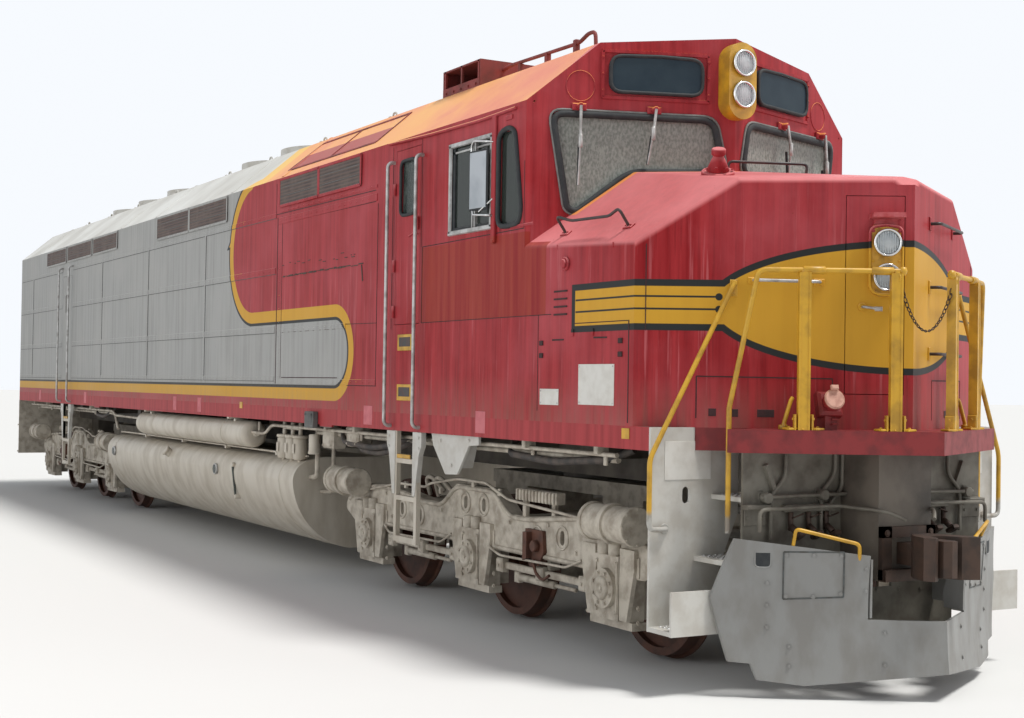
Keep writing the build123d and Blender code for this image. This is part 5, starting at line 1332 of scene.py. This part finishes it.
def tie_bar(iron, bolts, face, start, end):
    """The frame's lower edge between two axles, and the bar under it with its clamps."""
    span = end - start
    iron.run(face, [(start, 0.622, 0.002), (end, 0.622, 0.002)], 0.018)
    iron.plate(face, ((start + end) / 2, 0.48, -0.06), 1.40, 0.055, 0.04, 0.008)
    for share in (0.04, 0.5, 0.96):
        iron.plate(face, (start + span * share, 0.48, -0.04), 0.10, 0.11, 0.07, 0.012)
        bolts.bolts(face, [(start + span * share, 0.48, -0.005)], 0.014)


def cylinder_bands(iron, bolts, face, place):
    """Bands and bolted end covers on a brake cylinder."""
    half = Vector((0.018, 0, 0))
    centre = face(place, 0.985, 0.15)
    for shift in (-0.26, 0.0, 0.26):
        middle = centre + Vector((shift, 0, 0))
        iron.drum(middle - half, middle + half, 0.137, 32, 0.005)
        if shift:
            end_way = Vector((math.copysign(1, shift), 0, 0))
            for spot in circle(middle + end_way * 0.018, Vector((0, 1, 0)), UP, 0.12, 8):
                bolts.bolt(spot, end_way, 0.009)


def slack_adjuster(iron, face, start, end):
    """The adjuster with its jaw, low between two axles."""
    neck = face(end - 0.30, 0.40, -0.10)
    iron.drum(face(start + 0.05, 0.40, -0.10), neck, 0.030, 14, 0.006)
    iron.drum(neck, face(end, 0.40, -0.10), 0.016, 12, 0.004)
    iron.plate(face, (start + 0.03, 0.40, -0.10), 0.07, 0.09, 0.05, 0.008)


def ribbed_box(iron, face):
    """The ribbed box above the frame and its hangers."""
    iron.plate(face, (1.04, 1.075, -0.02), 0.60, 0.09, 0.10, 0.012)
    for i in range(12):
        iron.plate(face, (0.77 + 0.05 * i, 1.075, 0.035), 0.022, 0.085, 0.018, 0.004)
    for ahead in (0.82, 1.26):
        iron.plate(face, (ahead, 0.98, -0.02), 0.05, 0.16, 0.04, 0.006)


def rusty_bracket(rusted, face):
    """The rusty bracket with its eye and link."""
    rusted.slab([face(a, z, 0.002) for a, z in bracket_edge], face.normal, 0.03)
    rusted.slab([face(a, z, 0.03) for a, z in bracket_lug], face.normal, 0.05)
    rusted.stub(face, (1.08, 0.70, 0.03), 0.045, 0.045, 18, 0.006)
    rusted.run(face.raised(0.05), [(1.06, 0.60), (1.09, 0.50), (1.20, 0.45), (1.30, 0.50)], 0.012, 0.05)


for truck in truck_places:
    iron = Piece(f"{truck}_truck_fittings")
    bolts = Piece(f"{truck}_truck_bolts")
    rusted = Piece(f"{truck}_truck_rusty_bracket")
    for face in (truck_side(truck, sign) for sign in sides):
        for ahead in axle_places:
            axle_box(iron, bolts, face, ahead)
        bolts.bolts(face, frame_bolts, 0.015, 0.014)
        iron.run(face.raised(0.002), frame_top_edge, 0.020, 0.10)
        for a, z in frame_holes:
            ring = [face(a + 0.085 * math.cos(t), z + 0.085 * math.sin(t), 0.002) for t in turn(20)]
            iron.hoop(ring, 0.010)
        for start, end in ((-1.72, -0.36), (0.36, 1.72)):
            tie_bar(iron, bolts, face, start, end)
        for place in (-2.33, 2.33):
            cylinder_bands(iron, bolts, face, place)
        for radius, bend, path in frame_pipes:
            iron.run(face, path, radius, bend)
        for a, z in pipe_clips:
            iron.plate(face, (a, z, 0.012), 0.04, 0.06, 0.03, 0.005)
        for ahead in (-1.15, -0.98, -0.35):
            motor_cable = [(ahead, 0.93, -0.16), (ahead + 0.03, 1.08, -0.10), (ahead + 0.16, 1.11, -0.09),
                           (ahead + 0.30, 0.98, -0.15)]
            iron.run(face, motor_cable, 0.020, 0.06)
        for start, end in ((0.55, 1.45), (-1.50, -0.60)):
            slack_adjuster(iron, face, start, end)
        ribbed_box(iron, face)
        rusty_bracket(rusted, face)
    iron.build(truck_paint, "underbody_paint", f"{truck}_truck")
    bolts.build(truck_paint, "underbody_paint", f"{truck}_truck")
    rusted.build(plain(f"{truck}_rusty_bracket", tint(92, 58, 44), tint(60, 44, 38), 0.7, 0.2, depth=0.4),
                 "coupler_iron", f"{truck}_truck")


# Under the body side: pipes, filters, hangers and cable runs, whose paths give x, y and height.

side_pipes = [
    (0.017, 0.08, [(-9.6, 1.42, 1.46), (-4.0, 1.42, 1.46), (-3.85, 1.42, 1.40), (2.4, 1.42, 1.36),
                   (2.6, 1.42, 1.46), (9.3, 1.42, 1.46)]),
    (0.022, 0.08, [(-9.3, 1.34, 1.42), (-4.2, 1.34, 1.42), (-4.0, 1.34, 1.20)]),
    (0.022, 0.08, [(3.5, 1.34, 1.20), (3.7, 1.34, 1.42), (9.2, 1.34, 1.42)]),
    (0.028, 0.06, [(3.45, 1.30, 0.95), (3.62, 1.30, 0.97), (3.62, 1.30, 1.44)]),
    (0.022, 0.06, [(3.45, 1.18, 0.80), (3.75, 1.18, 0.82), (3.75, 1.18, 1.44)])]
side_cables = [
    (0.028, 0.15, [(4.3, 1.30, 1.50), (4.5, 1.40, 1.36), (5.2, 1.40, 1.33), (5.7, 1.38, 1.38),
                   (6.0, 1.30, 1.50)]),
    (0.028, 0.15, [(4.6, 1.26, 1.50), (4.8, 1.36, 1.30), (5.3, 1.36, 1.28), (5.9, 1.34, 1.40),
                   (6.1, 1.28, 1.50)]),
    (0.030, 0.12, [(7.6, 1.24, 1.50), (7.7, 1.36, 1.40), (8.4, 1.38, 1.37), (9.1, 1.36, 1.42),
                   (9.3, 1.28, 1.50)]),
    (0.028, 0.12, [(-5.3, 1.28, 1.50), (-5.1, 1.38, 1.38), (-4.6, 1.38, 1.36), (-4.3, 1.28, 1.50)])]
filter_y = 1.34
# The filter's body, head, neck and drain: low and high ends, radius, sides and eased edge.
filter_drums = ((1.12, 1.34, 0.075, 24, 0.012), (1.34, 1.37, 0.085, 24, 0.006), (1.37, 1.50, 0.022, 12, 0),
                (1.09, 1.12, 0.025, 12, 0.004))
jacking_plate = [(6.63, 1.515), (7.46, 1.515), (7.46, 1.45), (7.30, 1.44), (7.10, 1.20), (6.89, 1.19),
                 (6.66, 1.42)]
pipes = Piece("underbody_pipes")
dark_pipes = Piece("underbody_cables")
hangers = Piece("underbody_hangers")
filters = Piece("underbody_filters")
white_bracket = Piece("jacking_bracket")
for sign in sides:
    at, out = beside(sign), Vector((0, sign, 0))
    for piece, paths in ((pipes, side_pipes), (dark_pipes, side_cables)):
        for radius, bend, path in paths:
            piece.run(at, path, radius, bend)
    for x in (-9.2, -8.2, -5.2, 4.2, 4.9, 8.1, 9.1):
        hangers.block(at(x, 1.42, 1.49), out, 0.05, 0.06, 0.10, 0.006)
        hangers.block(at(x, 1.38, 1.45), out, 0.04, 0.14, 0.02, 0.004)
    for x in (2.78, 3.02, 3.24):
        for low, high, radius, count, ease in filter_drums:
            filters.drum(at(x, filter_y, low), at(x, filter_y, high), radius, count, ease)
        filters.block(at(x, 1.42, 1.235), out, 0.06, 0.10, 0.006, 0.002)
    filters.drum(at(3.72, 1.38, 1.20), at(3.72, 1.38, 1.40), 0.055, 20, 0.008)
    filters.run(at, [(2.78, filter_y, 1.44), (3.24, filter_y, 1.44)], 0.018)
    for x, z in ((4.15, 1.38), (4.75, 1.42)):
        hangers.block(at(x, 1.34, z), out, 0.26, 0.20, 0.16, 0.02)
        for i in (-0.1, 0.1):
            for j in (-0.07, 0.07):
                hangers.bolt(at(x + i, 1.42, z + j), out, 0.010)
    white_bracket.slab([at(x, 1.485, z) for x, z in jacking_plate], out, 0.02)
    white_bracket.slab([at(x, 1.36, z) for x, z in ((6.80, 1.515), (7.2, 1.515), (7.1, 1.25), (6.89, 1.25))],
                       out, 0.13)
    for x, z in ((6.80, 1.46), (7.30, 1.48), (7.0, 1.27)):
        white_bracket.bolt(at(x, 1.505, z), out, 0.014)
pipes.build(truck_paint, "underbody_paint")
dark_pipes.build(hose_rubber, "dark_metal")
hangers.build(truck_paint, "underbody_paint")
filters.build(tank_paint, "underbody_paint")
white_bracket.build(white_paint, "front_grey")

# Flared gussets at the heads of the side ladders, and a yellow tag on each ladder's tread.
gusset_edge = [(0.175, 1.515), (0.345, 1.515), (0.345, 1.40), (0.30, 1.33), (0.225, 0.97), (0.175, 0.97)]
gussets = Piece("ladder_gussets")
ladder_tag = Piece("ladder_tag")
for sign in sides:
    at, out = beside(sign), Vector((0, sign, 0))
    for middle in (6.155, -6.50):
        for way in (-1, 1):
            gussets.slab([at(middle + way * a, 1.493, z) for a, z in gusset_edge], out, 0.044)
            for z in (1.47, 1.38):
                gussets.bolt(at(middle + way * 0.30, 1.537, z), out, 0.012)
        ladder_tag.block(at(middle, 1.535, 1.30), out, 0.26, 0.035, 0.01, 0.003)
gussets.build(white_paint, "underbody_paint")
ladder_tag.build(yellow_paint, "yellow_paint")


# Fuel tank and reservoirs: bands, gauges, filler, plugs, straps and drain cocks.

def arc_points(a, b, c, steps=10):
    """Points along the circle through three points of a plane."""
    (ax, ay), (bx, by), (cx, cy) = a, b, c
    d = 2 * (ax * (by - cy) + bx * (cy - ay) + cx * (ay - by))
    aa, bb, cc = ax ** 2 + ay ** 2, bx ** 2 + by ** 2, cx ** 2 + cy ** 2
    u = (aa * (by - cy) + bb * (cy - ay) + cc * (ay - by)) / d
    v = (aa * (cx - bx) + bb * (ax - cx) + cc * (bx - ax)) / d
    radius = math.hypot(ax - u, ay - v)
    start, end = math.atan2(ay - v, ax - u), math.atan2(cy - v, cx - u)
    turns = [start + (end - start) * i / steps for i in range(steps + 1)]
    return [(u + radius * math.cos(t), v + radius * math.sin(t)) for t in turns]


tank_side_line = arc_points((0.85, 0.205), (1.33, 0.5), (1.48, 0.9))
tank_side_line += arc_points((1.48, 0.9), (1.44, 1.03), (1.33, 1.11), 5)[1:]
tank_bands = Piece("tank_bands")
for sign in sides:
    for x in (-3.65, 2.98):
        for (y0, z0), (y1, z1) in zip(tank_side_line, tank_side_line[1:]):
            start, end = beside(sign)(x, y0, z0), beside(sign)(x, y1, z1)
            tank_bands.strip(start, end, (0, sign * (z1 - z0), y0 - y1), 0.05, 0.006, 0.1)
tank_bands.build(tank_paint, "underbody_paint")

reservoir_y, reservoir_z, strap_r = 1.385, 1.34, 0.154
tank_trim = Piece("tank_fittings")
gauges = Piece("tank_gauges")
gauge_glass = Piece("tank_gauge_glass")
for sign in sides:
    at, out = beside(sign), Vector((0, sign, 0))
    for x in (-3.62, 0.95):
        gauges.drum(at(x, 1.478, 0.90), at(x, 1.508, 0.90), 0.065, 28, 0.006)
        gauge_glass.drum(at(x, 1.508, 0.90), at(x, 1.512, 0.90), 0.050, 24)
    tank_trim.drum(at(1.55, 1.38, 0.62), at(1.55, 1.46, 0.62), 0.028, 14, 0.004)
    tank_trim.drum(at(1.55, 1.4664, 0.98), at(1.55, 1.5032, 0.98), 0.028, 14, 0.004)
    gauge_glass.run(at, [(1.55, 1.45, 0.64), (1.55, 1.49, 0.96)], 0.014)
    filler, up_out = at(-1.0, 1.44, 0.98), Vector((0, sign * 0.85, 0.53)).normalized()
    tank_trim.drum(filler - up_out * 0.03, filler + up_out * 0.07, 0.055, 24, 0.006)
    tank_trim.drum(filler + up_out * 0.07, filler + up_out * 0.10, 0.068, 24, 0.010)
    top_pipe = [(-3.95, 1.30, 1.16), (-3.5, 1.30, 1.165), (3.0, 1.30, 1.165), (3.35, 1.30, 1.16)]
    tank_trim.run(at, top_pipe, 0.012, 0.05)
    for x in (-2.6, -0.9, 0.8, 2.5):
        tank_trim.block(at(x, 1.30, 1.15), UP, 0.05, 0.06, 0.04, 0.005)
    for x, way in ((-2.40, -1), (2.00, 1)):
        end = at(x, reservoir_y, reservoir_z)
        ahead = Vector((way, 0, 0))
        tank_trim.drum(end - ahead * 0.02, end + ahead * 0.05, 0.03, 16, 0.004)
        elbow = [end + ahead * 0.04, end + ahead * 0.12, end + ahead * 0.12 + UP * 0.14]
        tank_trim.tube(elbow, 0.014, 0.03)
    for x in (-1.6, 1.2):
        centre = at(x, reservoir_y, reservoir_z)
        loop = circle(centre, out, UP, strap_r, 32)
        for start, end in zip(loop, loop[1:] + loop[:1]):
            away = ((start + end) / 2 - centre).normalized()
            tank_trim.strip(start - away * 0.004, end - away * 0.004, away, 0.06, 0.004)
tank_trim.build(tank_paint, "underbody_paint")
gauges.build(rail_silver, "handrail_silver")
gauge_glass.build(side_glass, "window_glass")


# Roof: conduit to the cab, lifting eyes, vents, horn and antenna domes, hatch bolts.

def roof_height(y):
    return crown - 0.09 * abs(y)


roof_trim = Piece("roof_fittings")
roof_red = Piece("roof_conduit")
conduit = [(6.40, 0.75, 4.68), (6.70, 0.84, 4.66), (7.95, 0.93, 4.60), (8.12, 0.95, 4.64),
           (8.22, 0.955, 4.63), (8.235, 0.96, 4.53)]
roof_red.run(beside(-1), conduit, 0.016, 0.05)
for x in (6.9, 7.4, 7.9):
    roof_red.block((x, -0.84 - (x - 6.7) * 0.072, rail + 4.575), UP, 0.04, 0.04, 0.12, 0.005)
for x, y in ((7.72, 0.45), (6.2, -0.5), (5.75, 0.5)):
    z = roof_height(y)
    roof_red.block((x, y, z + 0.02), UP, 0.14, 0.10, 0.05, 0.012)
    roof_red.drum((x, y, z + 0.04), (x, y, z + 0.10), 0.03, 16, 0.012)
eye_shape = [(-0.045, 4.545), (-0.035, 4.60), (0.035, 4.60), (0.045, 4.545)]
for x in (-8.0, -6.5, -4.9, -2.9, -0.6, 0.9, 2.6, 4.4):
    for sign in sides:
        roof_trim.block(beside(sign)(x, 0.86, 4.545), UP, 0.05, 0.12, 0.03, 0.006)
        eye = [(x + shift, 0.86, z) for shift, z in eye_shape]
        roof_trim.run(beside(sign), eye, 0.010, 0.03)
# Domes and vents: x and y, radius and height.
for x, y, r, high in ((3.6, -0.2, 0.07, 0.08), (-2.35, 0.3, 0.09, 0.07), (2.1, 0.25, 0.06, 0.10),
                      (-9.4, 0.0, 0.08, 0.06)):
    z = roof_height(y)
    roof_trim.drum((x, y, z - 0.01), (x, y, z + high), r, 24, 0.015)
    roof_trim.drum((x, y, z + high), (x, y, z + high + 0.02), r * 1.3, 24, 0.008)
for x in hatch_joints:
    for i in range(9):
        y = -0.9 + 0.225 * i
        roof_trim.bolt((x, y, crown - 0.089 * abs(y) + 0.008), UP, 0.010, 0.01)
roof_red.build(rusty_red, "red_paint")
roof_trim.build(plain("roof_fitting_paint", tint(188, 186, 180), tint(140, 134, 124), 0.6, scale=7),
                "roof_paint")

# The open red box by the right shoulder, made of sheet with folded edges.
box_sheet = Piece("shoulder_box")
x0, x1, y0, y1 = 5.72, 6.42, -0.99, -0.40
low, high = rail + 4.50, rail + 4.752
sheet = 0.006
for x in (x0, x1):
    box_sheet.box((x - sheet, y0, low), (x + sheet, y1 + sheet, high))
box_sheet.box((x0 - sheet, y1, low), (x1 + sheet, y1 + sheet, high))
box_sheet.box((x0, y0, high - 0.016), (x1, y1, high))
box_sheet.box((x0, y0 - 0.004, low), (x1, y0 + 0.012, low + 0.09))
for x in (x0 + 0.03, (x0 + x1) / 2, x1 - 0.03):
    box_sheet.box((x - 0.012, y0, low), (x + 0.012, y0 + 0.02, high))
for i in range(5):
    box_sheet.bolt((x0 + 0.07 + 0.14 * i, y0 - 0.004, low + 0.045), (0, -1, 0), 0.010)
box_sheet.build(rusty_red, "red_paint")

# Fan guards: two more rings on each, and the hatches' edge strips along the roof.
guards = Piece("fan_guard_rings")
for x in fan_places:
    for r in (0.20, 0.465):
        guards.hoop(circle(Vector((x, 0, rail + 4.747)), Vector((1, 0, 0)), Vector((0, 1, 0)), r, 48), 0.006)
for x in hatch_joints:
    for sign in sides:
        at = beside(sign)
        guards.strip(at(x, 0, 4.602), at(x, 1.0, 4.512), (0, sign * 0.089, 1), 0.06, 0.008, 0.1)
        guards.strip(at(x, 1.0, 4.516), at(x, 1.53, 4.06), (0, sign * 0.46, 0.53), 0.06, 0.006, 0.1)
guards.build(shell, "roof_paint")

# Rear end: tail lamps and grab irons.
rear_trim = Piece("rear_fittings")
rear_lens = Piece("rear_lamp_lenses")
for sign in sides:
    face = end_face(rear_end, sign)
    for level in (3.55, 2.2):
        rear_trim.stub(face, (1.12, level), 0.03, 0.06, 24, 0.008)
        rear_lens.stub(face, (1.12, level, 0.03), 0.01, 0.044, 20, 0.004)
    rear_trim.run(face, [(0.52, 3.2), (0.52, 3.2, 0.08), (0.52, 2.2, 0.08), (0.52, 2.2)], 0.015, 0.04)
    for z in (2.85, 3.25, 2.45):
        rear_trim.run(face, [(0.78, z), (0.78, z, 0.075), (1.20, z, 0.075), (1.20, z)], 0.011, 0.03)
rear_trim.build(rail_silver, "handrail_silver")
rear_lens.build(lamp_glass, "window_glass")


# Floor, lights and camera.

def stage():
    mesh = bpy.data.meshes.new("floor")
    reach, edges = 220, 64
    rim = [(reach * math.cos(t), reach * math.sin(t), 0) for t in turn(edges)]
    mesh.from_pydata(rim, [], [tuple(range(edges))])
    finish = Finish("pale_floor", 0.9)
    finish.set(Base_Color=tint(214, 214, 213))
    mesh.materials.append(finish.material)
    floor = bpy.data.objects.new("floor", mesh)
    bpy.context.scene.collection.objects.link(floor)


def world_light():
    """Soft light from all sides; the camera, metal and glass see the same pale sky at full strength."""
    world = bpy.data.worlds.new("studio")
    bpy.context.scene.world = world
    world.use_nodes = True
    sky = Nodes(world.node_tree)
    sky.tree.nodes.remove(sky.tree.nodes["Background"])
    pale = (0.93, 0.96, 1, 1)
    soft, white = (sky.node("ShaderNodeBackground", inputs={"Color": pale, "Strength": strength})
                   for strength in (0.40, 1.0))
    camera_ray, glossy, through = (sky.node("ShaderNodeLightPath", output=f"Is {kind} Ray")
                                   for kind in ("Camera", "Glossy", "Transmission"))
    looked_at = camera_ray.above(glossy).above(through)
    blend = sky.node("ShaderNodeMixShader", inputs={0: looked_at, 1: soft, 2: white})
    sky.join(sky.tree.nodes["World Output"].inputs["Surface"], blend)


def lamp(name, place, target, size, power, colour=(1, 1, 1)):
    light = bpy.data.lights.new(name, "AREA")
    light.size, light.energy, light.color = size, power, colour
    made = bpy.data.objects.new(name, light)
    bpy.context.scene.collection.objects.link(made)
    made.location = place
    made.rotation_euler = (Vector(target) - Vector(place)).to_track_quat("-Z", "Y").to_euler()


def sun_light(direction, power):
    """A soft, even key light over the part and the whole floor."""
    light = bpy.data.lights.new("key", "SUN")
    light.energy, light.angle, light.color = power, math.radians(14), (1, 0.985, 0.95)
    made = bpy.data.objects.new("key", light)
    bpy.context.scene.collection.objects.link(made)
    made.rotation_euler = (-Vector(direction)).to_track_quat("-Z", "Y").to_euler()


def camera():
    """The photograph's viewpoint, solved from the real machine's sizes."""
    spot = (17.773, -7.0246, 1.9324 + rail)
    yaw, pitch, roll = (math.radians(angle) for angle in (29.394, 0.980, 0.859))
    look = Vector((-math.cos(yaw) * math.cos(pitch), math.sin(yaw) * math.cos(pitch), math.sin(pitch)))
    right = look.cross(UP).normalized()
    up = right.cross(look)
    tilted_right = right * math.cos(roll) + up * math.sin(roll)
    tilted_up = up * math.cos(roll) - right * math.sin(roll)
    data = bpy.data.cameras.new("camera")
    data.sensor_width, data.lens = 36, 52.34
    made = bpy.data.objects.new("camera", data)
    bpy.context.scene.collection.objects.link(made)
    turned = Matrix((tilted_right, tilted_up, -look)).transposed().to_4x4()
    made.matrix_world = Matrix.Translation(spot) @ turned
    bpy.context.scene.camera = made


stage()
world_light()
sun_light((0.26, 0.26, 0.93), 3.2)
lamp("front_left", (24, 14, 10), (8, 0, 2.5), 9, 520, (1, 0.98, 0.95))
lamp("right_fill", (8, -20, 7), (2, 0, 2), 14, 900)
camera()
bpy.context.scene.view_settings.view_transform = "Standard"
